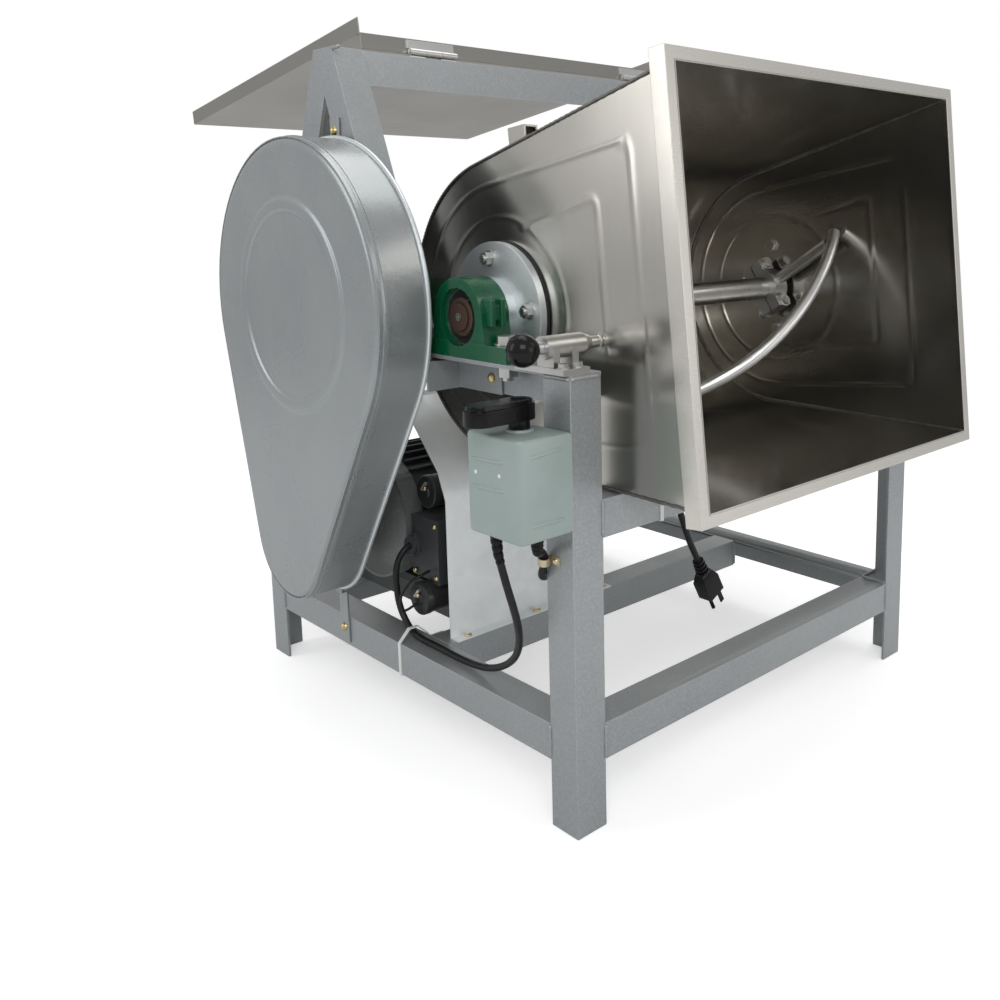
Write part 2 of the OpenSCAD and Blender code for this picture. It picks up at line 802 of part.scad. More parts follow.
// Pulleys with one groove each, and the belt that runs in them
module pulley(r, bore_r, web) {
    groove_top = 15;
    groove_low = 10.6;
    rim = 18;
    difference() {
        union() {
            rotate([0, 90, 0]) rotate_extrude($fn = 96) difference() {
                translate([0, -pulley_w / 2]) square([r, pulley_w]);
                polygon([
                    [r + over, -groove_top / 2], [r, -groove_top / 2], [r - groove_deep, -groove_low / 2],
                    [r - groove_deep, groove_low / 2], [r, groove_top / 2], [r + over, groove_top / 2]
                ]);
            }
        }
        if (web) {
            hub = 3 * bore_r;
            for (s = [-1, 1]) difference() {
                rod_x(s * pulley_w / 2 - pulley_w / 3, s * pulley_w / 2 + pulley_w / 3, r - rim);
                rod_x(-pulley_w, pulley_w, hub);
            }
            for (k = [0:4]) rotate([72 * k, 0, 0]) translate([0, (r - rim + hub) / 2, 0])
                rod_x(-pulley_w, pulley_w, (r - rim - hub) / 3);
        }
        rod_x(-pulley_w, pulley_w, bore_r);
    }
}

module large_pulley() {
    color("dimgray") translate([-belt_plane, counter_y, counter_z]) pulley(big_pulley_r, counter_d / 2, true);
}

module motor_pulley() {
    color("dimgray") translate([-belt_plane, motor_y, motor_z])
        pulley(small_pulley_r, motor_shaft_d / 2, false);
}

module drive_belt() {
    belt_w = 10;
    belt_h = 8;
    big = [counter_y, counter_z];
    small = [motor_y, motor_z];
    color("black") along_x(-belt_plane - belt_w / 2, belt_w) difference() {
        egg(big, big_pulley_r - 1, small, small_pulley_r - 1);
        egg(big, big_pulley_r - 1 - belt_h, small, small_pulley_r - 1 - belt_h);
    }
}

// Gear cover: a pressed pan over both gears, open to the stand
module gear_cover() {
    big_r = gear_r + gear_module + cover_gap;
    small_r = pinion_r + gear_module + cover_gap + guard_t;
    color("darkgray") {
        along_x(x_out, cover_depth - guard_t) difference() {
            egg([axis_y, axis_z], big_r, [counter_y, counter_z], small_r);
            egg([axis_y, axis_z], big_r - guard_t, [counter_y, counter_z], small_r - guard_t);
        }
        along_x(x_out + cover_depth - guard_t, guard_t)
            egg([axis_y, axis_z], big_r, [counter_y, counter_z], small_r);
    }
}

// Belt guard: pressed front, band with a rolled rear edge
module guard_egg(inset = 0) {
    egg(guard_c, guard_r - inset, guard_small_c, guard_small_r - inset);
}

module guard_front() {
    ring_share = 0.643;
    ring_w = 13;
    ring_h = 2;
    face = -x_out - guard_depth;
    ring_r = guard_r * ring_share;
    color("gray") {
        along_x(face, guard_t) guard_egg();
        translate([face - ring_h, 0, 0]) along_x(0, ring_h) translate(guard_c) difference() {
            circle(ring_r, $fn = 96);
            circle(ring_r - ring_w, $fn = 96);
        }
    }
}

module guard_band() {
    seam = 4;
    bead = 2.5;
    face = -x_out - guard_depth + guard_t;
    length = guard_depth - guard_t - guard_off;
    color("gray") {
        along_x(face, length) difference() {
            guard_egg();
            guard_egg(guard_t);
        }
        along_x(face + 2 * seam, seam) difference() {
            guard_egg(-guard_t);
            guard_egg(0);
        }
        along_x(face + length - seam, seam) difference() {
            guard_egg(-bead);
            guard_egg(0);
        }
    }
}

// Flat bars that carry the belt guard
module guard_brackets() {
    bar_t = 3;
    bar_h = 33;
    bar_front = -182;
    bar_back = -105;
    strap_w = 20;
    strap_y = 67;
    strap_low = 690;
    strap_top = 740;
    foot_low = 78;
    foot_top = 150;
    tip_top = 172;
    rear = x_out + guard_off;
    rail_x = x_out - angle_w + angle_t;
    bar_low = rail_top - angle_t - root_r - bar_h;
    color("gray") {
        translate([-rail_x - bar_t, bar_front, bar_low]) cube([bar_t, bar_back - bar_front, bar_h]);
        translate([-rear, bar_back - bar_t, bar_low]) cube([rear - rail_x, bar_t, bar_h]);
        translate([-x_out - bar_t, strap_y, strap_low]) cube([bar_t, strap_w, strap_top - strap_low]);
        translate([-rear, strap_y, strap_low]) cube([rear - x_out, strap_w, bar_t]);
        translate([-rear, strap_y, strap_low]) cube([bar_t, strap_w, guard_c[1] + guard_r - strap_low]);
        translate([0, motor_y - strap_w / 2, 0]) {
            translate([-x_out - bar_t, 0, foot_low]) cube([bar_t, strap_w, foot_top - foot_low]);
            translate([-rear, 0, foot_top - bar_t]) cube([rear - x_out, strap_w, bar_t]);
            translate([-rear, 0, foot_top - bar_t]) cube([bar_t, strap_w, tip_top - foot_top]);
        }
    }
}

module guard_screws() {
    screw_d = 6;
    rail_x = x_out - angle_w + angle_t;
    color("goldenrod") {
        translate([-rail_x - 3, -166, rail_top - angle_t - 20]) rotate([0, -90, 0]) small_screw(screw_d, 0);
        translate([-x_out - 3, 77, 725]) rotate([0, -90, 0]) small_screw(screw_d, 0);
        translate([-x_out - 3, motor_y, 98]) rotate([0, -90, 0]) small_screw(screw_d, 0);
    }
}

// Motor: finned body on feet, end bells and fan cover
module motor_axis() {
    translate([0, motor_y, motor_z]) children();
}

module motor_body() {
    fins = 36;
    fin_t = 3;
    foot_w = 36;
    foot_thick = 12;
    foot_reach = 97;
    core = motor_r - fin_h;
    color("darkslategray") difference() {
        union() {
            motor_axis() along_x(motor_x, motor_len) {
                circle(core, $fn = 96);
                for (k = [0:fins - 1]) if (k < 14 || k > 32)
                    rotate(10 * k) translate([core - 2, -fin_t / 2]) square([fin_h + 2, fin_t]);
            }
            for (x = slide_places) translate([x - foot_w / 2, motor_y - foot_reach, low_rail_h + slide_h]) {
                cube([foot_w, 2 * foot_reach, foot_thick]);
                translate([foot_w / 3, foot_reach / 3, 0]) cube([foot_w / 3, foot_reach * 4 / 3, motor_h]);
            }
        }
        for (x = slide_places, s = [-1, 1]) translate([x, motor_y + s * slide_bolt_y, low_rail_h])
            cylinder(d = slide_bolt_d + 2 * bolt_gap, h = slide_h + foot_thick + over);
    }
}

module motor_end_bells() {
    bell = 50;
    fan = 74;
    lug_r = 9;
    hub = 34;
    core = motor_r - fin_h;
    color("slategray") motor_axis() {
        difference() {
            union() {
                rod_x(motor_x - bell / 2, motor_x, core + 3);
                translate([motor_x - bell, 0, 0]) rotate([0, 90, 0])
                    cylinder(r1 = hub, r2 = core, h = bell / 2);
                for (k = [0:3]) rotate([45 + 90 * k, 0, 0]) translate([0, core - lug_r / 2, 0])
                    rod_x(motor_x - bell / 2, motor_x, lug_r);
            }
            rod_x(motor_x - bell - over, motor_x + over, motor_shaft_d / 2 + run_gap);
        }
        difference() {
            union() {
                rod_x(motor_x + motor_len, motor_x + motor_len + fan, core + 3);
                rod_x(motor_x + motor_len + fan, motor_x + motor_len + fan + 4, core - 6);
            }
            for (k = [0:7]) rotate([45 * k, 0, 0]) translate([motor_x + motor_len + fan - 10, core / 2, 0])
                rod_x(0, 20, 9, $fn = 24);
        }
    }
}

module motor_shaft() {
    color("silver") motor_axis() rod_x(-belt_plane - pulley_w / 2 - 3, motor_x - 2, motor_shaft_d / 2);
}

// Slide bars on the two motor rails, with the bolts that hold the feet
module motor_slides() {
    bar_w = 36;
    front = -42;
    foot_thick = 12;
    color("dimgray") for (x = slide_places) {
        translate([x - bar_w / 2, front, low_rail_h]) cube([bar_w, motor_rail_rear - front, slide_h]);
        for (s = [-1, 1]) translate([x, motor_y + s * slide_bolt_y, low_rail_h + slide_h + foot_thick])
            hex_bolt(slide_bolt_d, foot_thick + 8, false);
    }
}

module terminal_box() {
    box_x = -262;
    box_len = 96;
    box_y = -30;
    box_w = 58;
    box_z = 180;
    box_h = 78;
    lid_w = 14;
    gland_r = 12;
    gland_len = 10;
    color("dimgray") difference() {
        union() {
            translate([box_x, box_y + lid_w, box_z]) cube([box_len, box_w - lid_w, box_h]);
            translate([box_x - 2, box_y, box_z - 2]) cube([box_len + 4, lid_w, box_h + 4]);
            translate([box_x + box_len / 4, box_y + box_w - over, box_z + 12])
                cube([box_len / 2, motor_y - box_y - box_w, box_h - 24]);
            translate([box_x, cable_end[1], cable_end[2]]) rod_x(-gland_len, 0, gland_r);
            translate([box_x, cable_end[1], cable_end[2]]) rod_x(-gland_len / 2, 0, gland_r + 3, $fn = 6);
        }
        motor_axis() rod_x(motor_x - motor_len, motor_x + 2 * motor_len, motor_r - fin_h);
        translate([box_x, cable_end[1], cable_end[2]]) rod_x(-gland_len - over, 0, cord_d / 2 + 0.2);
    }
}

// Two capacitors in clamps, one under and one over the terminal box
module capacitors() {
    cap_r = 20;
    cap_len = 100;
    low = [-276, -6, 159.5];
    high = [-256, 0, 290];
    color("dimgray") {
        translate(low) rod_x(0, cap_len, cap_r);
        translate(high) rod_x(0, cap_len, cap_r);
        translate([low[0] + cap_len / 2, low[1] + 8, low[2] + 8]) cube([12, 22, 12.5]);
        difference() {
            translate([high[0] + cap_len / 2, high[1] + cap_r / 2, high[2] - 12])
                cube([14, motor_y - cap_r, 10]);
            motor_axis() rod_x(motor_x - motor_len, motor_x + 2 * motor_len, motor_r - fin_h);
        }
    }
}

// Splash shield in front of the motor, screwed to the front motor rail
module motor_shield() {
    shield_x = -260;
    shield_len = 258;
    t = 1.5;
    rows = [[-45, 0], [-45, 174], [-31, 208], [15, 257], [50, 287]];
    foot_front = -60;
    screw_d = 5;
    color("gainsboro") {
        translate([0, 0, low_rail_h]) along_x(shield_x, shield_len) {
            polygon(concat(rows, [for (i = [len(rows) - 1:-1:0]) [rows[i][0] + t, rows[i][1]]]));
            translate([foot_front, 0]) square([rows[0][0] - foot_front + t, t]);
        }
        for (x = [-240, -130, -12]) translate([x, foot_front + 7, low_rail_h + t]) small_screw(screw_d, 1);
    }
}

// Drum switch: box on the post, lid plate and gland collars
module switch_box() {
    shell = 2;
    lip = 2;
    collar_h = 8;
    collar_r = 8;
    cords = [cord_points[0], cable_points[0]];
    color("slategray") difference() {
        union() {
            translate([-x_out - switch_out, switch_y, switch_z]) cube([switch_out, switch_w, switch_h]);
            translate([-x_out - switch_out - lip, switch_y - lip, switch_z + switch_h])
                cube([switch_out + lip, switch_w + 2 * lip, switch_lid_t]);
            translate([-handle_x, handle_y, switch_z + switch_h]) cylinder(r = stem_r + 3, h = switch_lid_t + 2);
            for (c = cords) translate([c[0], c[1], switch_z - collar_h]) cylinder(r = collar_r, h = collar_h);
        }
        translate([-x_out - switch_out + shell, switch_y + shell, switch_z + shell])
            cube([switch_out - 2 * shell, switch_w - 2 * shell, switch_h - 2 * shell]);
        translate([-handle_x, handle_y, switch_z + switch_h / 2])
            cylinder(r = stem_r + run_gap, h = switch_h);
        for (c = cords) translate([c[0], c[1], switch_z - collar_h - over])
            cylinder(r = cord_d / 2 + 0.2, h = collar_h + over);
    }
}

module switch_handle() {
    low = switch_z + switch_h + switch_lid_t + 12;
    thick = 15;
    upper = 4.5;
    narrow = 2.5;
    sunk = 10;
    screw_r = 4;
    color("dimgray") difference() {
        union() {
            translate([-handle_x, handle_y, low - 12 - sunk]) cylinder(r = stem_r, h = sunk + 13);
            translate([-handle_x - handle_len / 2, handle_y, low]) linear_extrude(thick)
                slot(handle_len, handle_wide_r);
            translate([-handle_x - handle_len / 2, handle_y, low]) linear_extrude(thick + upper)
                slot(handle_len, handle_wide_r - narrow);
        }
        translate([-handle_x, handle_y, low + thick]) cylinder(r = stem_r / 2 + 2, h = 2 * upper);
        translate([-handle_x, handle_y, low + thick - 2]) cylinder(r = screw_r / 2, h = 2 * upper);
    }
}

// Swept tubes for the leads
function tangents(p) = [for (i = [0:len(p) - 1])
    unit(i == 0 ? p[1] - p[0] : i == len(p) - 1 ? p[i] - p[i - 1] : p[i + 1] - p[i - 1])];
function carry(n, t) = unit(n - (n * t) * t);
function sides_of(t) = [for (i = 0, n = carry([0.1, 0.3, 1], t[0]); i < len(t);
    n = carry(n, t[min(i + 1, len(t) - 1)]), i = i + 1) n];

module tube(points, r, sides) {
    t = tangents(points);
    n = sides_of(t);
    last = len(points) - 1;
    rings = [for (i = [0:last], k = [0:sides - 1])
        points[i] + r * cos(360 * k / sides) * n[i] + r * sin(360 * k / sides) * cross(t[i], n[i])];
    walls = [for (i = [0:last - 1], k = [0:sides - 1], half = [0, 1])
        let (a = i * sides + k, b = i * sides + (k + 1) % sides)
        half == 0 ? [a, a + sides, b + sides] : [a, b + sides, b]];
    polyhedron(points = rings, convexity = 8, faces = concat(
        walls, [[for (k = [0:sides - 1]) k]], [[for (k = [sides - 1:-1:0]) last * sides + k]]));
}

// The hank: straight runs and round folds, each turn one step lower than the last
hank_run = hank_right - hank_left;
hank_arc = PI * hank_fold_r;
hank_loop = 2 * (hank_run + hank_arc);
hank_total = hank_turns * hank_loop + hank_run;
function hank_stop(i) =
    i < 2 ? i * hank_run / 2
    : i < 12 ? hank_run + (i - 2) * hank_arc / 10
    : i < 14 ? hank_run + hank_arc + (i - 12) * hank_run / 2
    : 2 * hank_run + hank_arc + (i - 14) * hank_arc / 10;
function hank_point(s) =
    let (d = s < 0 ? s : s - hank_loop * floor(s / hank_loop), a = 180 / hank_arc, f = hank_fold_r)
    let (z = hank_top - hank_step * max(0, min(s, hank_total - cord_d)) / hank_loop)
    let (right = (d - hank_run) * a, left = (d - 2 * hank_run - hank_arc) * a)
    d <= hank_run ? [hank_left + d, hank_y + f, z]
    : d <= hank_run + hank_arc ? [hank_right + f * sin(right), hank_y + f * cos(right), z]
    : d <= 2 * hank_run + hank_arc ? [hank_right - (d - hank_run - hank_arc), hank_y - f, z]
    : [hank_left - f * sin(left), hank_y - f * cos(left), z];
hank_stops = concat(
    [-cord_d], [for (turn = [0:hank_turns - 1], i = [0:23]) turn * hank_loop + hank_stop(i)],
    [hank_turns * hank_loop, hank_turns * hank_loop + hank_run / 2, hank_total - cord_d, hank_total]
);
hank_points = [for (s = hank_stops) hank_point(s)];
hank_gap = min([for (i = [0:len(hank_stops) - 1], j = [0:len(hank_stops) - 1])
    if (hank_stops[j] - hank_stops[i] > 3 * hank_fold_r) norm(hank_points[j] - hank_points[i])]) - cord_d;
echo(hank_gap = hank_gap, hank_length = hank_total + cord_d, hank_end = hank_points[len(hank_points) - 1]);

module motor_cable() {
    color("black") tube(cable_points, cord_d / 2, 10);
}

module power_cord() {
    color("black") {
        tube(cord_points, cord_d / 2, 10);
        tube(tail_points, cord_d / 2, 10);
    }
}

module cord_hank() {
    color("black") tube(hank_points, cord_d / 2, 6);
}

// Moulded plug with a ribbed relief, two flat blades and a round earth pin
module cord_plug() {
    relief = 21;
    ribs = 4;
    body = 36;
    body_w = 26;
    body_d = 20;
    top_share = 0.6;
    blade_w = 6.3;
    blade_t = 1.5;
    blade_len = 17;
    blade_apart = 12.7;
    earth_d = 4.8;
    earth_len = 20;
    earth_off = 11.9;
    color("black") translate(plug_at) rotate([0, 180 - plug_lean, 0]) {
        cylinder(r1 = cord_d / 2 + 1, r2 = cord_d / 2 + 3, h = relief);
        for (k = [0:ribs - 1]) translate([0, 0, relief * (k + 0.5) / ribs])
            cylinder(r = cord_d / 2 + 3 + k / 2, h = relief / ribs / 2);
        translate([0, 0, relief]) linear_extrude(body / 3, scale = 1 / top_share)
            translate([-body_w / 2, -body_d / 2] * top_share) square([body_w, body_d] * top_share);
        translate([-body_w / 2, -body_d / 2, relief + body / 3]) cube([body_w, body_d, body * 2 / 3]);
        translate([-earth_off / 2, 0, relief + body]) {
            for (s = [-1, 1]) translate([-blade_w / 2, s * blade_apart / 2 - blade_t / 2, 0])
                cube([blade_w, blade_t, blade_len]);
            translate([earth_off, 0, 0]) cylinder(d = earth_d, h = earth_len);
        }
    }
}

// Clip on the post and the two ties
module cable_clips() {
    tie_w = 4.8;
    tie_t = 1.2;
    clip_t = 1.2;
    clip_w = 9;
    gap = 0.2;
    clip_gap = 1;
    tie_x = -188;
    tie_y = -12;
    clip_at = cord_points[6];
    aim = unit(cord_points[7] - cord_points[5]);
    ring_w = clip_w - 1;
    screw_off = 10.5;
    color("white") {
        translate(clip_at) rotate([0, -asin(aim[2]), atan2(aim[1], aim[0])]) difference() {
            rod_x(-ring_w / 2, ring_w / 2, cord_d / 2 + clip_gap + clip_t);
            rod_x(-clip_w, clip_w, cord_d / 2 + clip_gap);
        }
        translate([-x_out - clip_t, clip_at[1] - screw_off - 6, clip_at[2] - clip_w / 2])
            cube([clip_t, screw_off + 6, clip_w]);
        translate([-x_out - clip_t, clip_at[1] - screw_off, clip_at[2]])
            rotate([0, -90, 0]) small_screw(4, 1);
        along_x(tie_x, tie_w) difference() {
            translate([-y_out - tie_t, front_rail_h - angle_w - tie_t])
                square([y_out + hank_y + hank_fold_r + cord_d / 2 + gap + 2 * tie_t, angle_w + 2 * tie_t]);
            translate([-y_out, front_rail_h - angle_w])
                square([y_out + hank_y + hank_fold_r + cord_d / 2 + gap, angle_w]);
        }
        translate([tie_x, -y_out - 3 * tie_t, front_rail_h - angle_w / 2])
            cube([tie_w + tie_t, 2 * tie_t, 6]);
        translate([0, tie_y + tie_w, 0]) rotate([90, 0, 0]) linear_extrude(tie_w) difference() {
            offset(delta = tie_t) tie_outline();
            tie_outline();
        }
        translate([-269, tie_y, 108]) cube([22, tie_w, tie_t]);
    }
}

module tie_outline() {
    low = low_rail_h - angle_w;
    polygon([
        [-x_out, low], [angle_t - x_out, low], [angle_w - x_out, low_rail_h - angle_t],
        [angle_w - x_out, low_rail_h], [-284, 127], [-296, 127], [-x_out, low_rail_h]
    ]);
}

// Lock on the front left corner: plate, two lugs and the sleeve that guides the pin
module lock_base() {
    plate_x = -318;
    plate_len = 34;
    plate_y = -330;
    plate_w = 72;
    lug_t = 8;
    lug_w = 24;
    sleeve_x = -321;
    sleeve_end = -262;
    sleeve_r = 11.5;
    cone = 10;
    nose_r = 8;
    color("dimgray") difference() {
        union() {
            translate([plate_x, plate_y, rail_top]) cube([plate_len, plate_w, lock_plate_t]);
            for (x = [plate_x + 2, plate_x + plate_len - lug_t]) translate([x, lock_y - lug_w / 2, rail_top])
                cube([lug_t, lug_w, lock_z - rail_top]);
            translate([0, lock_y, lock_z]) rod_x(sleeve_x, sleeve_end - cone, sleeve_r);
            translate([sleeve_end - cone, lock_y, lock_z]) rotate([0, 90, 0])
                cylinder(r1 = sleeve_r, r2 = nose_r, h = cone);
            for (x = [plate_x + 7, plate_x + plate_len - 9])
                translate([x, plate_y + 8.5, rail_top + lock_plate_t]) hex_bolt(6, lock_plate_t, false);
        }
        translate([0, lock_y, lock_z]) rod_x(sleeve_x - over, sleeve_end + over, pin_r + run_gap);
    }
}

module lock_plunger() {
    knob_x = -343;
    knob_r = 16;
    neck_r = 9;
    neck = 14;
    start = asin(neck_r / knob_r);
    steps = 12;
    color("black") translate([knob_x, lock_y, lock_z]) rotate([0, 90, 0]) rotate_extrude() polygon(concat(
        [for (i = [0:steps]) let (a = 180 - (180 - start) * i / steps) knob_r * [sin(a), cos(a)]],
        [[neck_r, neck], [pin_r, neck], [pin_r, -pin_end - knob_x], [0, -pin_end - knob_x]]));
}

// Every sub-part in its place
place() {
    post();  // post_front_left
    mirror([1, 0, 0]) post();  // post_front_right
    mirror([0, 1, 0]) post();  // post_rear_left
    mirror([1, 0, 0]) mirror([0, 1, 0]) post();  // post_rear_right
    lower_rails();
    motor_rails();
    front_upper_rail();
    mirror([0, 1, 0]) front_upper_rail();  // rear_upper_rail
    side_rail();  // side_rail_left
    mirror([1, 0, 0]) side_rail();  // side_rail_right
    lid_stand();  // lid_stand_left
    mirror([1, 0, 0]) lid_stand();  // lid_stand_right
    lid_crossbar();
    lid_hinge_fixed();
    lid_hinge_moving();
    lid();
    hopper_side(true);  // hopper_side_left
    mirror([1, 0, 0]) hopper_side(false);  // hopper_side_right
    hopper_wrap();
    hopper_rim();
    hopper_catch();
    hopper_flanges();
    hopper_gaskets();
    hopper_bolts();
    main_block();  // pillow_block_left
    mirror([1, 0, 0]) main_block();  // pillow_block_right
    both_sides() counter_block();  // counter_blocks
    bearing_inserts();
    pillow_bolts();
    main_shaft();
    agitator_arms();
    agitator_bar();
    clamp_bolts();
    main_gear();
    countershaft();
    large_pulley();
    pinion_gear();
    drive_belt();
    gear_cover();
    guard_front();
    guard_band();
    guard_brackets();
    guard_screws();
    motor_body();
    motor_end_bells();
    motor_shaft();
    motor_pulley();
    motor_slides();
    terminal_box();
    capacitors();
    motor_shield();
    switch_box();
    switch_handle();
    motor_cable();
    power_cord();
    cord_hank();
    cord_plug();
    cable_clips();
    lock_base();
    lock_plunger();
}
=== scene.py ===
# %% [markdown]
# A tilting dough mixer
# The machine stands on a welded frame of angle steel, and its hopper is tipped forward on the mixing shaft.
# The measured solids of the part are loaded first. They give every place and size, so nothing is
# fitted by eye.

# %% Load the solids
import json
from math import acos, atan2, cos, pi, radians, sin, sqrt

import bmesh
import bpy
from mathutils import Matrix, Vector, noise


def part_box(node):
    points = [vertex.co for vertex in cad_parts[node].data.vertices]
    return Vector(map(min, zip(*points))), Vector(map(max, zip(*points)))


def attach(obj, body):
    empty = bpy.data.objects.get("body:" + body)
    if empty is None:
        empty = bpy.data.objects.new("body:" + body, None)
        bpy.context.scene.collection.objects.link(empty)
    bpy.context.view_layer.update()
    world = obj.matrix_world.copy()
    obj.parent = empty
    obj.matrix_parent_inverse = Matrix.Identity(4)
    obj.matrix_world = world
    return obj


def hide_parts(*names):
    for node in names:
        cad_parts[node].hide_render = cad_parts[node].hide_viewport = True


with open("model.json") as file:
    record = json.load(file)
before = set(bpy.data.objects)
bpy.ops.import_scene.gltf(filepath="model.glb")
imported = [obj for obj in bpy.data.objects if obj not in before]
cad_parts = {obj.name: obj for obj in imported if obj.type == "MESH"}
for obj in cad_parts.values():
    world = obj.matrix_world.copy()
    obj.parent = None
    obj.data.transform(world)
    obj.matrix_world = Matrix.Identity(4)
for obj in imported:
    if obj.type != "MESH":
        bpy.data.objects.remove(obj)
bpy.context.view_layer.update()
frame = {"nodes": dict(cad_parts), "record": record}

# %% [markdown]
# The machine was drawn in millimetres from the middle of its four feet, with X to the gear side and Z up.
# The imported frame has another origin, so one corner of a post tells how far apart the two are.
# The hopper was drawn upright about its shaft, so a second helper tips a point forward with it.

# %% Places in the drawing
MM = 0.001
POST_CORNER = Vector((-310, -330, 0)) * MM
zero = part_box("post_front_left")[0] - POST_CORNER
AXIS_Y, AXIS_Z = -150, 519.9
TIP = radians(84)


def at(x, y, z):
    return zero + Vector((x, y, z)) * MM


def in_hopper(x, y, z):
    return at(x, AXIS_Y + y * cos(TIP) - z * sin(TIP), AXIS_Z + y * sin(TIP) + z * cos(TIP))


print("middle of the feet", [round(v, 4) for v in zero])

# %% [markdown]
# The camera looks from the left front, a little above the hopper. Its place, its turn and its lens were
# found from the corners of the frame, whose sizes are known. The shift is the part of the picture's
# framing that turning the camera would spoil, because upright posts would then lean.

# %% Camera
CAMERA_AT = (-931.204, -1033.733, 628.669)
CAMERA_RIGHT = Vector((0.704227, -0.709932, -0.007834))
CAMERA_DOWN = Vector((-0.117654, -0.105813, -0.987401))
CAMERA_AHEAD = Vector((0.700158, 0.696276, -0.158043))


def show(name, data):
    made = bpy.data.objects.new(name, data)
    bpy.context.scene.collection.objects.link(made)
    return made


camera_data = bpy.data.cameras.new("camera")
camera = show("camera", camera_data)
turn = Matrix((CAMERA_RIGHT, -CAMERA_DOWN, -CAMERA_AHEAD)).transposed().to_4x4()
camera.matrix_world = Matrix.Translation(at(*CAMERA_AT)) @ turn
camera_data.lens = 36.44
camera_data.sensor_width = 36
camera_data.shift_x = -0.1349
camera_data.shift_y = -0.1265
camera_data.clip_end = 50
bpy.context.scene.camera = camera
print("camera", [round(v, 3) for v in camera.location])

# %% [markdown]
# Surface effects that many finishes share are node groups, built once. A group gives masks and heights
# only. The shader itself stays in each material. Every pattern reads object coordinates, in metres,
# so a scale of 300 means about 300 cells in a metre.

# %% Helper for effect groups
effects = {}


def start_effect(name, inputs, outputs):
    group = bpy.data.node_groups.new(name, "ShaderNodeTree")
    for label, value in inputs.items():
        kind = "NodeSocketVector" if isinstance(value, tuple) else "NodeSocketFloat"
        socket = group.interface.new_socket(name=label, in_out="INPUT", socket_type=kind)
        socket.default_value = value
    for label in outputs:
        group.interface.new_socket(name=label, in_out="OUTPUT", socket_type="NodeSocketFloat")
    effects[name] = group
    given, made, coords = [group.nodes.new(kind) for kind in
                           ("NodeGroupInput", "NodeGroupOutput", "ShaderNodeTexCoord")]
    return group, given.outputs, made.inputs, coords.outputs


def node_in(tree, kind, links=(), **settings):
    made = tree.nodes.new("ShaderNode" + kind)
    for key, value in settings.items():
        if key.startswith("in_"):
            made.inputs[key[3:].replace("_", " ")].default_value = value
        else:
            setattr(made, key, value)
    for socket, source in links:
        tree.links.new(source, made.inputs[socket])
    return made


def maths(tree, operation, *values):
    made = node_in(tree, "Math", operation=operation)
    for place, value in enumerate(values):
        if isinstance(value, (int, float)):
            made.inputs[place].default_value = value
        else:
            tree.links.new(value, made.inputs[place])
    return made.outputs[0]


def remap(tree, value, low, high):
    spread = node_in(tree, "MapRange", [("Value", value)], in_From_Min=low, in_From_Max=high)
    return spread.outputs[0]


# %% [markdown]
# The frame is painted with hammer finish: small round dimples with a metallic flake between them.
# Smooth cells of a Voronoi texture, bent a little by noise, give both the dimples and the flake.

# %% Hammered dimples
group, given, made, coords = start_effect("Hammered dimples", {"Cells": 300.0, "Wander": 0.002},
                                          ["Height", "Flake"])
drift = node_in(group, "TexNoise", [("Vector", coords["Object"])], in_Scale=160.0, in_Detail=2.0)
offset = node_in(group, "VectorMath", [(0, drift.outputs["Color"]), ("Scale", given["Wander"])],
                 operation="SCALE")
bent = node_in(group, "VectorMath", [(0, coords["Object"]), (1, offset.outputs[0])],
               operation="ADD")
cells = node_in(group, "TexVoronoi", [("Vector", bent.outputs[0]), ("Scale", given["Cells"])],
                feature="SMOOTH_F1").outputs["Distance"]
group.links.new(cells, made["Height"])
group.links.new(remap(group, cells, 0.2, 0.75), made["Flake"])
print(group.name)

# %% [markdown]
# Stainless sheet carries fine parallel lines from the brush. Noise stretched along one axis draws them,
# and each piece says which way they run by its own stretch.

# %% Brushed lines
group, given, made, coords = start_effect("Brushed lines", {"Stretch": (12.0, 900.0, 900.0)},
                                          ["Height", "Streak"])
stretched = node_in(group, "VectorMath", [(0, coords["Object"]), (1, given["Stretch"])],
                    operation="MULTIPLY").outputs[0]
fine = node_in(group, "TexNoise", [("Vector", stretched)], in_Scale=1.0, in_Detail=5.0,
               in_Roughness=0.7)
broad = node_in(group, "VectorMath", [(0, stretched)], operation="SCALE", in_Scale=0.12)
wide = node_in(group, "TexNoise", [("Vector", broad.outputs[0])], in_Scale=1.0, in_Detail=3.0)
group.links.new(fine.outputs[0], made["Height"])
group.links.new(wide.outputs[0], made["Streak"])
print(group.name)

# %% [markdown]
# Paint rubs off first along edges. A bevel node rounds the normal near an edge, so where the rounded
# normal leaves the true one, an edge is close. Noise breaks the line up.

# %% Worn edges
group, given, made, coords = start_effect("Worn edges", {"Reach": 0.0015, "Cells": 90.0}, ["Mask"])
round_edge = node_in(group, "Bevel", [("Radius", given["Reach"])], samples=4)
true_side = node_in(group, "NewGeometry").outputs["Normal"]
agree = node_in(group, "VectorMath", [(0, round_edge.outputs[0]), (1, true_side)],
                operation="DOT_PRODUCT")
near = maths(group, "SUBTRACT", 1.0, agree.outputs["Value"])
broken = node_in(group, "TexNoise", [("Vector", coords["Object"]), ("Scale", given["Cells"])],
                 in_Detail=4.0, in_Roughness=0.65)
rubbed = maths(group, "MULTIPLY", near, broken.outputs[0])
group.links.new(remap(group, rubbed, 0.025, 0.09), made["Mask"])
print(group.name)

# %% [markdown]
# Flour dust and handling leave soft patches. The mask is stronger on faces that look up when the
# machine stands at rest, and it moves with its piece.

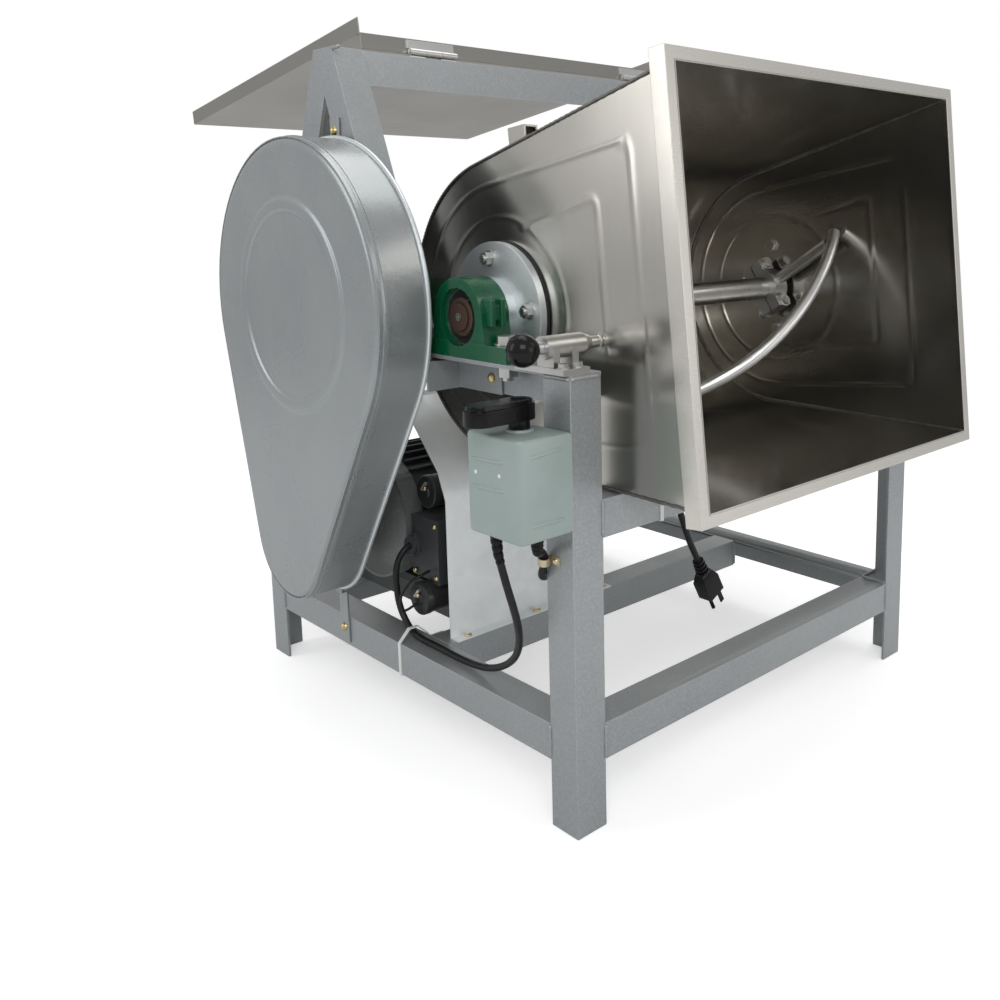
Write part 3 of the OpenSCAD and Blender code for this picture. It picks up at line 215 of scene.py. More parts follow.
# %% Dust and patches
group, given, made, coords = start_effect("Dust and patches", {"Cells": 9.0, "Upward": 0.6},
                                          ["Mask", "Patch"])
cloud = node_in(group, "TexNoise", [("Vector", coords["Object"]), ("Scale", given["Cells"])],
                in_Detail=6.0, in_Roughness=0.62).outputs[0]
split = node_in(group, "SeparateXYZ", [(0, coords["Normal"])])
facing = maths(group, "MAXIMUM", split.outputs[2], 0.0)
lifted = maths(group, "MULTIPLY_ADD", facing, given["Upward"], 0.15)
group.links.new(maths(group, "MULTIPLY", lifted, cloud), made["Mask"])
group.links.new(remap(group, cloud, 0.38, 0.64), made["Patch"])
print(group.name)

# %% [markdown]
# Castings and moulded plastic have a fine even grain, and zinc has flat crystals. Both are groups too.

# %% Grain and zinc crystals
group, given, made, coords = start_effect("Cast grain", {"Cells": 700.0, "Rough": 0.6}, ["Height", "Spots"])
grain = node_in(group, "TexNoise", [("Vector", coords["Object"]), ("Scale", given["Cells"]),
                                    ("Roughness", given["Rough"])], in_Detail=3.0).outputs[0]
group.links.new(grain, made["Height"])
group.links.new(remap(group, grain, 0.58, 0.7), made["Spots"])

group, given, made, coords = start_effect("Zinc crystals", {"Cells": 70.0}, ["Crystal", "Height"])
crystals = node_in(group, "TexVoronoi", [("Vector", coords["Object"]), ("Scale", given["Cells"])])
shade = node_in(group, "SeparateColor", [(0, crystals.outputs["Color"])])
group.links.new(shade.outputs[0], made["Crystal"])
group.links.new(crystals.outputs["Distance"], made["Height"])
print(sorted(effects))

# %% [markdown]
# Some pieces change along their length, such as a shaft whose open end has rusted. One group gives a mask
# that is high beyond a plane, with a ragged border.

# %% One end of a piece
group, given, made, coords = start_effect(
    "One end", {"Edge": 0.0, "Toward": (0.0, 0.0, 1.0), "Blur": 0.01}, ["Mask"])
reach = node_in(group, "VectorMath", [(0, coords["Object"]), (1, given["Toward"])],
                operation="DOT_PRODUCT")
ragged = node_in(group, "TexNoise", [("Vector", coords["Object"])], in_Scale=140.0, in_Detail=4.0)
wander = maths(group, "MULTIPLY_ADD", ragged.outputs[0], given["Blur"], reach.outputs["Value"])
beyond = maths(group, "SUBTRACT", wander, given["Edge"])
softened = maths(group, "DIVIDE", beyond, given["Blur"])
clipped = maths(group, "MINIMUM", maths(group, "MAXIMUM", softened, 0.0), 1.0)
group.links.new(clipped, made["Mask"])
print(group.name)

# %% [markdown]
# A finish is one Principled shader with effects placed round it. Each coat lays a tint where its mask
# is high. Roughness effects add to a plain value. Heights are in metres, so a bump keeps its true depth.
# Four short functions write out the effects that most finishes use.

# %% Helper for finishes
finishes = {}


def make_finish(name, tint, rough, metal, coats=(), rough_by=(), bumps=(), coat=0.0, level=0.5):
    finish = bpy.data.materials.new(name)
    finish.use_nodes = True
    tree = finish.node_tree
    shader = tree.nodes["Principled BSDF"].inputs
    plain = {"Base Color": (*tint, 1), "Metallic": metal, "Roughness": rough, "Coat Weight": coat,
             "Coat Roughness": 0.12, "Specular IOR Level": level}
    for label, value in plain.items():
        shader[label].default_value = value
    placed = {}

    def effect(kind, output, settings):
        key = (kind, str(settings))
        if key not in placed:
            placed[key] = tree.nodes.new("ShaderNodeGroup")
            placed[key].node_tree = effects[kind]
            for label, value in settings.items():
                placed[key].inputs[label].default_value = value
        return placed[key].outputs[output]

    under = None
    for kind, output, settings, over_tint, share in coats:
        mask = maths(tree, "MULTIPLY", effect(kind, output, settings), share)
        mix = node_in(tree, "Mix", [(0, mask)], data_type="RGBA")
        mix.inputs[6].default_value = (*tint, 1)
        mix.inputs[7].default_value = (*over_tint, 1)
        if under is not None:
            tree.links.new(under, mix.inputs[6])
        under = mix.outputs[2]
    if coats:
        tree.links.new(under, shader["Base Color"])
    dull = rough
    for kind, output, settings, amount in rough_by:
        dull = maths(tree, "MULTIPLY_ADD", effect(kind, output, settings), amount, dull)
    if rough_by:
        tree.links.new(dull, shader["Roughness"])
    rise = 0.0
    for kind, output, settings, depth in bumps:
        rise = maths(tree, "MULTIPLY_ADD", effect(kind, output, settings), depth, rise)
    if bumps:
        bump = node_in(tree, "Bump", [("Height", rise)], in_Strength=1.0, in_Distance=1.0)
        tree.links.new(bump.outputs[0], shader["Normal"])
    finishes[name] = finish


def patched(cells, *rest):
    return ("Dust and patches", "Patch", {"Cells": cells}, *rest)


def grained(cells, *rest):
    return ("Cast grain", "Height", {"Cells": cells}, *rest)


def spotted(cells, *rest):
    return ("Cast grain", "Spots", {"Cells": cells}, *rest)


def worn(*rest, **settings):
    return ("Worn edges", "Mask", settings, *rest)


# %% [markdown]
# The painted finishes come first. The numbers in each line are the tint, the roughness and how much
# the paint acts as metal.

# %% Painted finishes
DUST = ("Dust and patches", "Mask", {"Cells": 7.0, "Upward": 0.5}, (0.78, 0.76, 0.72), 0.5)
SOOT = ("Dust and patches", "Mask", {"Cells": 7.0, "Upward": 0.5}, (0.20, 0.20, 0.19), 0.35)
make_finish(
    "hammer_grey", (0.29, 0.315, 0.33), 0.32, 0.5,
    coats=[("Hammered dimples", "Flake", {"Cells": 430.0}, (0.40, 0.425, 0.44), 0.7),
           patched(6.0, (0.38, 0.40, 0.405), 0.4),
           ("Brushed lines", "Streak", {"Stretch": (60.0, 60.0, 8.0)}, (0.25, 0.265, 0.275), 0.4),
           worn((0.60, 0.59, 0.57), 0.6), DUST],
    rough_by=[patched(6.0, 0.12)],
    bumps=[("Hammered dimples", "Height", {"Cells": 430.0}, 0.00016)])
make_finish(
    "guard_grey", (0.28, 0.305, 0.315), 0.24, 0.5,
    coats=[patched(6.0, (0.34, 0.365, 0.375), 0.5),
           ("Brushed lines", "Streak", {"Stretch": (40.0, 30.0, 7.0)}, (0.25, 0.27, 0.28), 0.45),
           worn((0.50, 0.51, 0.50), 0.25, Cells=60.0), DUST],
    rough_by=[patched(6.0, 0.1)],
    bumps=[grained(420.0, 0.00008), patched(4.0, 0.0003)])
make_finish(
    "block_green", (0.0012, 0.082, 0.032), 0.2, 0.0, coat=0.25,
    coats=[spotted(240.0, (0.003, 0.11, 0.046), 0.6),
           worn((0.20, 0.27, 0.22), 0.3, Reach=0.001)],
    bumps=[grained(260.0, 0.0005)])
make_finish(
    "motor_dark", (0.03, 0.034, 0.038), 0.36, 0.0, coat=0.1, level=0.4,
    coats=[worn((0.16, 0.17, 0.18), 0.5, Reach=0.001), SOOT],
    rough_by=[patched(6.0, 0.15)],
    bumps=[grained(500.0, 0.00022)])
make_finish(
    "bell_grey", (0.19, 0.20, 0.20), 0.42, 0.3,
    coats=[spotted(260.0, (0.30, 0.31, 0.31), 0.7),
           worn((0.28, 0.28, 0.28), 0.5, Reach=0.001), SOOT],
    bumps=[grained(380.0, 0.0003)])
make_finish(
    "switch_enamel", (0.27, 0.335, 0.32), 0.38, 0.0, coat=0.1,
    coats=[patched(18.0, (0.33, 0.39, 0.37), 0.5),
           worn((0.55, 0.56, 0.54), 0.6, Reach=0.001)],
    bumps=[grained(600.0, 0.00006)])
print(sorted(finishes))

# %% [markdown]
# Bare metals: brushed stainless for the hopper and lid, zinc sheet for the splash shield, bright and
# rusted steel, dark iron and yellow zinc screws.

# %% Metal finishes
ALONG_X = {"Stretch": (12.0, 1700.0, 1700.0)}
ALONG_Z = {"Stretch": (1700.0, 1700.0, 12.0)}
# The third number of each stainless row scales one stainless tint into lighter and darker copies. The rim is
# painted lighter, and the wrap and catch a little lighter, as painted light. The lid is painted much darker,
# and the sides a little darker, as painted shade.
for name, way, level, dull in (("stainless_x", ALONG_X, 1.05, 0.11), ("stainless_z", ALONG_Z, 0.92, 0.15),
                               ("stainless_lid_painted_shade", ALONG_X, 0.55, 0.25), ("stainless_rim_painted_light", ALONG_X, 1.2, 0.2)):
    make_finish(name, (0.56 * level, 0.54 * level, 0.50 * level), dull, 1.0,
                coats=[("Brushed lines", "Streak", way, (0.67 * level, 0.65 * level, 0.61 * level), 0.3),
                       patched(5.0, (0.47 * level, 0.455 * level, 0.42 * level), 0.4)],
                rough_by=[("Brushed lines", "Height", way, 0.07), patched(5.0, 0.06)],
                bumps=[("Brushed lines", "Height", way, 0.000003)])
make_finish(
    "zinc_sheet", (0.86, 0.90, 0.91), 0.4, 0.4,
    coats=[("Zinc crystals", "Crystal", {}, (0.95, 0.97, 0.98), 0.6),
           patched(8.0, (0.60, 0.62, 0.61), 0.4)],
    rough_by=[("Zinc crystals", "Crystal", {}, 0.12)],
    bumps=[("Zinc crystals", "Height", {}, 0.0001)])
make_finish(
    "bright_steel", (0.58, 0.58, 0.57), 0.27, 1.0,
    coats=[patched(30.0, (0.46, 0.45, 0.43), 0.45)],
    rough_by=[grained(260.0, 0.14)],
    bumps=[grained(900.0, 0.00002)])
RUSTY_END = {"Edge": 0.300 - zero.x, "Toward": (-1.0, 0.0, 0.0), "Blur": 0.006}
make_finish(
    "shaft_steel", (0.56, 0.56, 0.55), 0.24, 1.0,
    coats=[patched(30.0, (0.44, 0.43, 0.41), 0.4),
           ("One end", "Mask", RUSTY_END, (0.085, 0.042, 0.026), 0.92)],
    rough_by=[("One end", "Mask", RUSTY_END, 0.4), grained(260.0, 0.1)],
    bumps=[grained(800.0, 0.00005)])
make_finish(
    "satin_zinc", (0.66, 0.70, 0.71), 0.38, 0.85,
    coats=[patched(20.0, (0.74, 0.78, 0.79), 0.5)],
    rough_by=[grained(260.0, 0.12)],
    bumps=[grained(700.0, 0.00003)])
make_finish(
    "seam_dark", (0.16, 0.155, 0.145), 0.4, 0.8,
    coats=[patched(90.0, (0.26, 0.25, 0.23), 0.6)])
make_finish(
    "dark_iron", (0.085, 0.09, 0.09), 0.45, 0.55,
    coats=[worn((0.42, 0.41, 0.40), 0.7), DUST],
    bumps=[grained(450.0, 0.0003)])
make_finish(
    "clip_brass", (0.66, 0.58, 0.42), 0.34, 0.9,
    coats=[patched(90.0, (0.50, 0.42, 0.28), 0.6)],
    bumps=[grained(900.0, 0.00002)])
make_finish(
    "yellow_zinc", (0.62, 0.47, 0.20), 0.28, 1.0,
    coats=[patched(90.0, (0.58, 0.50, 0.34), 0.7)],
    bumps=[grained(900.0, 0.00002)])
print(len(finishes), "finishes")

# %% [markdown]
# Rubber and plastic: the leads have a soft sheen, the plug and knob are moulded and glossy, and the
# ties are pale nylon.

# %% Rubber and plastic finishes
make_finish(
    "lead_black", (0.007, 0.007, 0.008), 0.4, 0.0, level=0.3,
    coats=[patched(45.0, (0.018, 0.018, 0.019), 0.6)],
    bumps=[grained(700.0, 0.00006)])
make_finish(
    "rubber_black", (0.010, 0.010, 0.010), 0.62, 0.0, level=0.3,
    coats=[SOOT], bumps=[grained(800.0, 0.0001)])
make_finish(
    "moulded_black", (0.003, 0.003, 0.004), 0.1, 0.0, level=0.2,
    coats=[patched(40.0, (0.012, 0.012, 0.013), 0.6)],
    rough_by=[patched(40.0, 0.06)],
    bumps=[grained(1400.0, 0.00002)])
make_finish(
    "capacitor_grey", (0.014, 0.014, 0.016), 0.28, 0.0, level=0.35,
    coats=[SOOT], bumps=[grained(900.0, 0.00004)])
make_finish(
    "nylon_white", (0.74, 0.76, 0.75), 0.35, 0.0,
    coats=[patched(60.0, (0.66, 0.67, 0.64), 0.5)],
    bumps=[grained(900.0, 0.00003)])
print(len(finishes), "finishes")

# %% [markdown]
# Every new piece is finished in the same way: its mesh becomes an object at the origin, gets its
# finish, is shaded smooth between sharp edges, and rides on the body that carries it. Each finish is a
# look for one material of the part.

# %% Helper that finishes a piece
BODY_OF = {node: body for body, members in frame["record"]["behaviour"]["bodies"].items()
           for node in members}
USUAL_SHARP = 32


def finish_piece(name, bm, finish, body="frame", stands_for=(), sharp=0):
    mesh = bpy.data.meshes.new(name)
    bm.to_mesh(mesh)
    bm.free()
    piece = show(name, mesh)
    mesh.materials.clear()
    mesh.materials.append(finishes[finish])
    mesh.shade_smooth()
    mesh.set_sharp_from_angle(angle=radians(sharp or USUAL_SHARP))
    if not sharp:
        even = piece.modifiers.new("even_normals", "WEIGHTED_NORMAL")
        even.keep_sharp = True
        even.weight = 100
    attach(piece, body)
    if stands_for:
        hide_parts(*stands_for)
    return piece


# %% [markdown]
# Rolled, cast and folded metal never has a knife edge. For most solids the nicest piece is therefore
# a merged copy with its flat facets joined and its edges rounded. The copy replaces the solid.

# %% Helper that rounds the edges of a solid
LEAST_FOLD = radians(28)


def merged(node):
    bm = bmesh.new()
    bm.from_mesh(frame["nodes"][node].data)
    bmesh.ops.remove_doubles(bm, verts=bm.verts, dist=0.00001)
    bmesh.ops.dissolve_limit(bm, angle_limit=radians(0.4), verts=bm.verts, edges=bm.edges)
    return bm


def round_edges(bm, radius, segments=2):
    folds = [e for e in bm.edges if len(e.link_faces) == 2 and e.calc_face_angle(0) > LEAST_FOLD]
    bmesh.ops.bevel(bm, geom=folds, offset=radius * MM, offset_type="OFFSET", segments=segments,
                    profile=0.5, affect="EDGES", clamp_overlap=True, material=-1)
    return bm


def rounded_piece(node, radius, finish):
    bm = merged(node)
    if radius:
        round_edges(bm, radius)
    return finish_piece(node + "_made", bm, finish, BODY_OF[node], stands_for=(node,))


# %% [markdown]
# Three small builders draw most of the added detail: a round tube along points, a turned shape from
# pairs of length and radius, and a weld bead, which is a tube that swells and shrinks as it was laid.

# %% Builders for tubes, turned shapes and welds
LEAST_R, WELD_STEP = 0.02, 2.0


def around(count):
    return [2 * pi * k / count for k in range(count)]


def ring_at(bm, point, side, other, r, sides):
    return [bm.verts.new(point + (side * cos(t) + other * sin(t)) * r) for t in around(sides)]


def join_rings(bm, rings, closed):
    count = len(rings[0])
    for near, far in zip(rings, rings[1:] + (rings[:1] if closed else [])):
        for k in range(count):
            bm.faces.new((near[k], near[(k + 1) % count], far[(k + 1) % count], far[k]))
    if not closed:
        bm.faces.new(rings[0][::-1])
        bm.faces.new(rings[-1])


def add_tube(bm, points, radius, sides=10, closed=False):
    count = len(points)
    radii = radius if isinstance(radius, list) else [radius] * count
    side = None
    rings = []
    for i, point in enumerate(points):
        before = points[i - 1] if i or closed else point
        after = points[(i + 1) % count] if i < count - 1 or closed else point
        ahead = (after - before).normalized()
        side = ahead.orthogonal() if side is None else side - ahead * side.dot(ahead)
        side.normalize()
        rings.append(ring_at(bm, point, side, ahead.cross(side), radii[i], sides))
    join_rings(bm, rings, closed)


def add_turned(bm, base, axis, profile, sides=40, closed=False):
    axis = Vector(axis).normalized()
    side = axis.orthogonal().normalized()
    rings = [ring_at(bm, base + axis * along * MM, side, axis.cross(side), max(r, LEAST_R) * MM, sides)
             for along, r in profile]
    join_rings(bm, rings, closed)


def add_weld(bm, start, end, width=2.3):
    steps = max(3, int((end - start).length / (WELD_STEP * MM)))
    points = [start.lerp(end, i / steps) for i in range(steps + 1)]
    radii = [(width * (0.85 + 0.2 * (i % 2)) + 0.5 * noise.noise(spot * 300)) * MM
             for i, spot in enumerate(points)]
    radii[0] = radii[-1] = width * 0.4 * MM
    add_tube(bm, points, radii, 8)


def add_dome(bm, base, axis, r, h):
    steps = [(h * sin(t), r * cos(t)) for t in (0, 0.35, 0.7, 1.05, 1.35)]
    add_turned(bm, base, axis, [(-0.8, r)] + steps, 20)


print("builders ready")

# %% [markdown]
# The mains lead
# The lead leaves the switch, is clipped to the post, is wound into a hank behind the front rail, and
# its tail hangs down to the plug. Its route is the one of the solids, joined into one open curve.

# %% Route of the mains lead
LEAD_D = 8
HANK_LEFT, HANK_RIGHT, HANK_FOLD = -236, -116, 26
HANK_Y, HANK_TOP, HANK_TURNS, HANK_STEP = -290, 333, 2, 8.8
hank_run = HANK_RIGHT - HANK_LEFT
hank_arc = pi * HANK_FOLD
hank_loop = 2 * (hank_run + hank_arc)
hank_total = HANK_TURNS * hank_loop + hank_run
lead_route = [
    (-338, -310, 324), (-338, -310, 314), (-336, -308, 306.5), (-330.5, -304, 302.5),
    (-323.5, -299, 300.5), (-318.6, -295.8, 295.8), (-317.2, -294.6, 289.5), (-316.6, -292.8, 282),
    (-315.2, -288.6, 274.5), (-310, -284, 268.5), (-303, -281, 267), (-296, -278, 270),
    (-290, -275, 278), (-284, -271, 290), (-278, -268, 303), (-271, -266, 316), (-263, -265, 327),
    (-253, -264, 332.5), (-244, -264, 333),
]
tail_route = [
    (-116, -264, 313), (-106, -264, 313), (-97, -264, 307), (-90, -264, 296), (-83, -263, 281),
    (-76, -262, 266), (-69, -261, 251), (-62, -260, 238), (-54, -260, 223), (-49, -260, 214),
]


def hank_point(s):
    d = s % hank_loop
    z = HANK_TOP - HANK_STEP * max(0, min(s, hank_total - LEAD_D)) / hank_loop
    on_way_back = d > hank_run + hank_arc
    if on_way_back:
        d -= hank_run + hank_arc
    turned = max(0, d - hank_run) / HANK_FOLD
    x = min(d, hank_run) + HANK_FOLD * sin(turned)
    y = HANK_FOLD * cos(turned)
    if on_way_back:
        x, y = hank_run - x, -y
    return (HANK_LEFT + x, HANK_Y + y, z)


one_turn = [0, hank_run / 2] + [hank_run + k * hank_arc / 10 for k in range(10)]
one_turn += [hank_run + hank_arc + s for s in one_turn]
hank_stops = [turn_no * hank_loop + s for turn_no in range(HANK_TURNS) for s in one_turn]
hank_stops += [HANK_TURNS * hank_loop, HANK_TURNS * hank_loop + hank_run / 2, hank_total - LEAD_D]
whole_lead = lead_route + [hank_point(s) for s in hank_stops] + tail_route
print("lead points", len(whole_lead))

# %% Helper that lays a lead along points
def lay_lead(name, points, stands_for):
    data = bpy.data.curves.new(name, "CURVE")
    data.dimensions = "3D"
    data.bevel_depth = LEAD_D / 2 * MM
    data.bevel_resolution = 4
    data.resolution_u = 5
    data.use_fill_caps = True
    line = data.splines.new("BEZIER")
    line.bezier_points.add(len(points) - 1)
    for knot, point in zip(line.bezier_points, points):
        knot.co = at(*point)
        knot.handle_left_type = knot.handle_right_type = "AUTO"
    data.materials.append(finishes["lead_black"])
    lead = show(name, data)
    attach(lead, "frame")
    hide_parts(*stands_for)
    return lead


motor_route = [
    (-350, -262, 324), (-350, -262, 312), (-350, -264, 298), (-348, -267, 282), (-345, -271, 262),
    (-339, -272, 240), (-331, -268, 218), (-321, -257, 196), (-311, -240, 174), (-303, -220, 156),
    (-297, -196, 140), (-293, -170, 128), (-290, -140, 120), (-290, -110, 118), (-290, -80, 118),
    (-290, -50, 118), (-290, -28, 118), (-290, -8, 122), (-290, 7, 132), (-291, 17, 148),
    (-291, 22, 166), (-291, 23, 186), (-288, 22, 203), (-281, 20, 215), (-273, 20, 220), (-262, 20, 220),
]
mains_lead = lay_lead("mains_lead", whole_lead, ("power_cord", "cord_hank"))
motor_lead = lay_lead("motor_lead", motor_route, ("motor_cable",))
print("leads", mains_lead.name, motor_lead.name)

# %% [markdown]
# The welded frame
# Hot-rolled angle steel has slightly rounded corners. Rounded copies of the solids show that.

# %% Frame, guards and blocks
EDGE_RADII = {
    "hammer_grey": dict.fromkeys((
        "post_front_left", "post_front_right", "post_rear_left", "post_rear_right", "lower_rails",
        "motor_rails", "front_upper_rail", "rear_upper_rail", "side_rail_left", "side_rail_right",
        "lid_stand_left", "lid_stand_right", "lid_crossbar", "guard_brackets"), 0.8),
    "guard_grey": {"guard_band": 0.6, "gear_cover": 0.6},
    "bright_steel": {
        "pillow_bolts": 0.5, "countershaft": 0.6, "hopper_bolts": 0.4, "agitator_arms": 0.8,
        "agitator_bar": 0, "clamp_bolts": 0.4, "lid_hinge_fixed": 0.4, "lid_hinge_moving": 0.4,
        "motor_shaft": 0.5, "lock_base": 0.5},
    "yellow_zinc": {"guard_screws": 0},
    "shaft_steel": {"main_shaft": 0.6},
    "dark_iron": {"main_gear": 0.3, "pinion_gear": 0.3, "large_pulley": 0.5, "motor_pulley": 0.5,
                  "motor_slides": 0.6},
    "rubber_black": {"drive_belt": 0.4, "hopper_gaskets": 0.3},
    # The stainless finishes here are lighter and darker copies of one stainless: painted light on the wrap,
    # catch and rim, painted shade on the lid.
    "stainless_x": {"hopper_wrap": 0, "hopper_catch": 0.6},
    "stainless_rim_painted_light": {"hopper_rim": 0.6},
    "stainless_lid_painted_shade": {"lid": 0.4},
    "satin_zinc": {"hopper_flanges": 0.8},
    "motor_dark": {"motor_body": 0.8, "terminal_box": 1.2},
    "bell_grey": {"motor_end_bells": 1.2},
    "capacitor_grey": {"capacitors": 1.0},
    "zinc_sheet": {"motor_shield": 0.4},
    "moulded_black": {"switch_handle": 1.6, "cord_plug": 0.8},
}
for finish, members in EDGE_RADII.items():
    made_pieces = [rounded_piece(node, radius, finish) for node, radius in members.items()]
    print(finish, sum(len(piece.data.polygons) for piece in made_pieces))

# %% [markdown]
# The pressed hopper sides
# Each side is one pressed sheet: a rounded trough outline with an outer bead, a ring round the hub and an
# inner bead that flows into the ring. The outline is round below and meets the mouth along two tangents.
# A point's distance to each bead's middle line gives the height, so every bead is soft and smooth.
# The left side has two round holes for the lock's pin, and a thin collar lines each of them.

# %% Shape of the pressed side
MOUTH_OFF, MOUTH_HALF, MOUTH_TOP, TROUGH_R = 8, 206.5, 279, 167
BODY_X, SHEET = 246.5, 1.5
SIDE_BORE, SIDE_RINGS, SIDE_TURNS = 18.5, 84, 356
BEAD_HALF, BEAD_RISE = 4, 0.55
OUTER_BEAD = {"r": 142, "half": 150.1, "top": 215.9, "corner": 14}
HUB_RING, INNER_TOP, INNER_CORNER = 104, 164.6, 13
INNER_FROM, FLANK_Y, FLANK_Z = 97, 90.9, 55.8
PIN_HOLE, SNAP_FROM, SNAP_TO = 6.6, 3.5, 8.8
CORNER_CLEAR, MIDDLE_CLEAR = 6.5, 6.3
PIN_COLLAR = [(-0.5, 6.5), (-0.5, 8.4), (1.7, 8.4), (1.7, 6.5)]
FRONT_FLANK, BACK_FLANK = (-0.99982, 0.01838), (0.98477, -0.17383)
WAVES, WAVE_LENGTH, BEAD_JOIN, RIM_FADE, FAR_OFF = 0.35, 90, 7, 6, 99


def trough_lines(r, half, top):
    corners = [(way, Vector((MOUTH_OFF + way * half, top))) for way in (1, -1)]
    return [atan2(corner.y, corner.x) - way * acos(r / corner.length) for way, corner in corners]


def trough_reach(angle):
    a_back, a_front = trough_lines(TROUGH_R, MOUTH_HALF, MOUTH_TOP)
    if (angle - a_back) % (2 * pi) > a_front - a_back:
        return TROUGH_R
    limits = [TROUGH_R / cos(angle - a) for a in (a_back, a_front) if cos(angle - a) > 0.01]
    if sin(angle) > 0.01:
        limits.append(MOUTH_TOP / sin(angle))
    return min(limits)


def soft_corner(a, b, r):
    a, b = a + r, b + r
    return min(max(a, b), 0) + sqrt(max(a, 0) ** 2 + max(b, 0) ** 2) - r


def trough_distance(y, z, r, half, top, corner):
    a_back, a_front = trough_lines(r, half, top)
    if (atan2(z, y) - a_back) % (2 * pi) > a_front - a_back:
        return sqrt(y * y + z * z) - r
    flanks = max(y * cos(a) + z * sin(a) - r for a in (a_back, a_front))
    return soft_corner(flanks, z - top, corner)


def soft_join(a, b, reach):
    share = max(reach - abs(a - b), 0) / reach
    return min(a, b) - share * share * reach / 4


def bump_over(distance):
    t = max(0.0, 1 - abs(distance) / BEAD_HALF)
    return BEAD_RISE * t * t * (3 - 2 * t)


def bead_rise(y, z):
    outer = abs(trough_distance(y, z, **OUTER_BEAD) + 2)
    from_hub = sqrt(y * y + z * z)
    ring = abs(from_hub - HUB_RING)
    flanks = max(lean[0] * (y - way * FLANK_Y) + lean[1] * (z - FLANK_Z)
                 for way, lean in ((-1, FRONT_FLANK), (1, BACK_FLANK)))
    inner = FAR_OFF
    if from_hub > INNER_FROM and z > 0:
        inner = abs(soft_corner(flanks, z - INNER_TOP, INNER_CORNER) + 2)
    waves = WAVES * noise.noise(Vector((y / WAVE_LENGTH, z / WAVE_LENGTH, 3.1)))
    return bump_over(outer) + bump_over(soft_join(ring, inner, BEAD_JOIN)) + waves - 0.2


def join_skins(bm, skins, rims, left_out=lambda quad: False):
    for i in range(len(skins[0])):
        (near, near_next), (far, far_next) = [(rays[i], rays[(i + 1) % len(rays)]) for rays in skins]
        for here, there in ((near, near_next), (far, far_next)):
            for k in range(len(here) - 1):
                quad = (here[k], there[k], there[k + 1], here[k + 1])
                if not left_out(quad):
                    bm.faces.new(quad)
        for k in rims:
            bm.faces.new((near[k], near_next[k], far_next[k], far[k]))


def add_pressed_side(bm, way, holes):
    corners = [atan2(MOUTH_TOP, MOUTH_OFF + s * MOUTH_HALF) for s in (-1, 1)]
    turns = sorted(around(SIDE_TURNS) + [c % (2 * pi) for c in corners])
    skins = ([], [])
    for turn_to in turns:
        reach = trough_reach(turn_to)
        rays = ([], [])
        for k in range(SIDE_RINGS + 1):
            far = SIDE_BORE + (reach - SIDE_BORE) * k / SIDE_RINGS
            y, z = far * cos(turn_to), far * sin(turn_to)
            for hole in holes:
                gap = Vector((y - hole[0], z - hole[1]))
                if SNAP_FROM < gap.length < SNAP_TO:
                    y, z = Vector(hole) + gap * (PIN_HOLE / gap.length)
            rise = bead_rise(y, z) * min(1, (reach - far) / RIM_FADE + 0.15)
            for skin, depth in ((0, 0), (1, SHEET)):
                rays[skin].append(bm.verts.new(in_hopper(way * (BODY_X + rise - depth), y, z)))
        skins[0].append(rays[0])
        skins[1].append(rays[1])
    middles = [in_hopper(way * BODY_X, *hole) for hole in holes]

    def in_a_hole(quad):
        spot = (quad[0].co + quad[2].co) / 2
        return any((spot - middle).yz.length < MIDDLE_CLEAR * MM
                   or min((corner.co - middle).yz.length for corner in quad) < CORNER_CLEAR * MM
                   for middle in middles)

    join_skins(bm, skins, (0, -1), in_a_hole)
    for middle in middles:
        add_turned(bm, middle, (-way, 0, 0), PIN_COLLAR, 40, closed=True)
    bmesh.ops.recalc_face_normals(bm, faces=bm.faces)


PIN_SPOTS = [(-152, -18.4), (-34.2, 149.2)]
for side_name, way, holes in (("left", -1, PIN_SPOTS), ("right", 1, [])):
    bm = bmesh.new()
    add_pressed_side(bm, way, holes)
    node = "hopper_side_" + side_name
    # The sides take the slightly darker copy of the stainless, as painted shade.
    side = finish_piece(node + "_pressed", bm, "stainless_z", "hopper", stands_for=(node,), sharp=40)
    print(side.name, len(side.data.polygons))

# %% [markdown]
# The sheets are joined by a folded and crimped seam that shows as a dark dotted line outside and inside.

# %% Crimped seams of the hopper
bm = bmesh.new()
corner_turns = [atan2(MOUTH_TOP, MOUTH_OFF + s * MOUTH_HALF) for s in (-1, 1)]
sweep = 2 * pi - (corner_turns[0] - corner_turns[1])
for way in (-1, 1):
    for off_x, off_r in ((1.2, -0.4), (-2.6, -2.6)):
        points = []
        radii = []
        for k in range(360):
            turn_to = corner_turns[0] + sweep * k / 359
            reach = trough_reach(turn_to) + off_r
            points.append(in_hopper(way * (BODY_X + off_x), reach * cos(turn_to), reach * sin(turn_to)))
            radii.append((1.15 + 0.55 * (k % 2)) * MM)
        add_tube(bm, points, radii, 6)
seams = finish_piece("hopper_seams", bm, "seam_dark", "hopper", sharp=60)
print(seams.name, len(seams.data.polygons))

# %% [markdown]
# The belt guard
# The front is pressed from sheet: its rim rolls back into the band, and a broad ring is raised round
# the pulley's axis. The band's rear edge is rolled over a wire.

# %% Front of the belt guard
GUARD_C, GUARD_R = Vector((72.9, 523.5)), 192
SMALL_C, SMALL_R = Vector((118, 238)), 80
GUARD_FACE, GUARD_SHEET, GUARD_TURNS = -384, 1.2, 300
RING_FROM, RING_TO, RING_LIFT, RING_SLOPE = 108.5, 125.5, 2.0, 3.5
between = SMALL_C - GUARD_C
guard_base = atan2(between.y, between.x)
guard_lean = acos((GUARD_R - SMALL_R) / between.length)
small_turn = atan2(SMALL_R * sin(guard_lean), between.length + SMALL_R * cos(guard_lean))


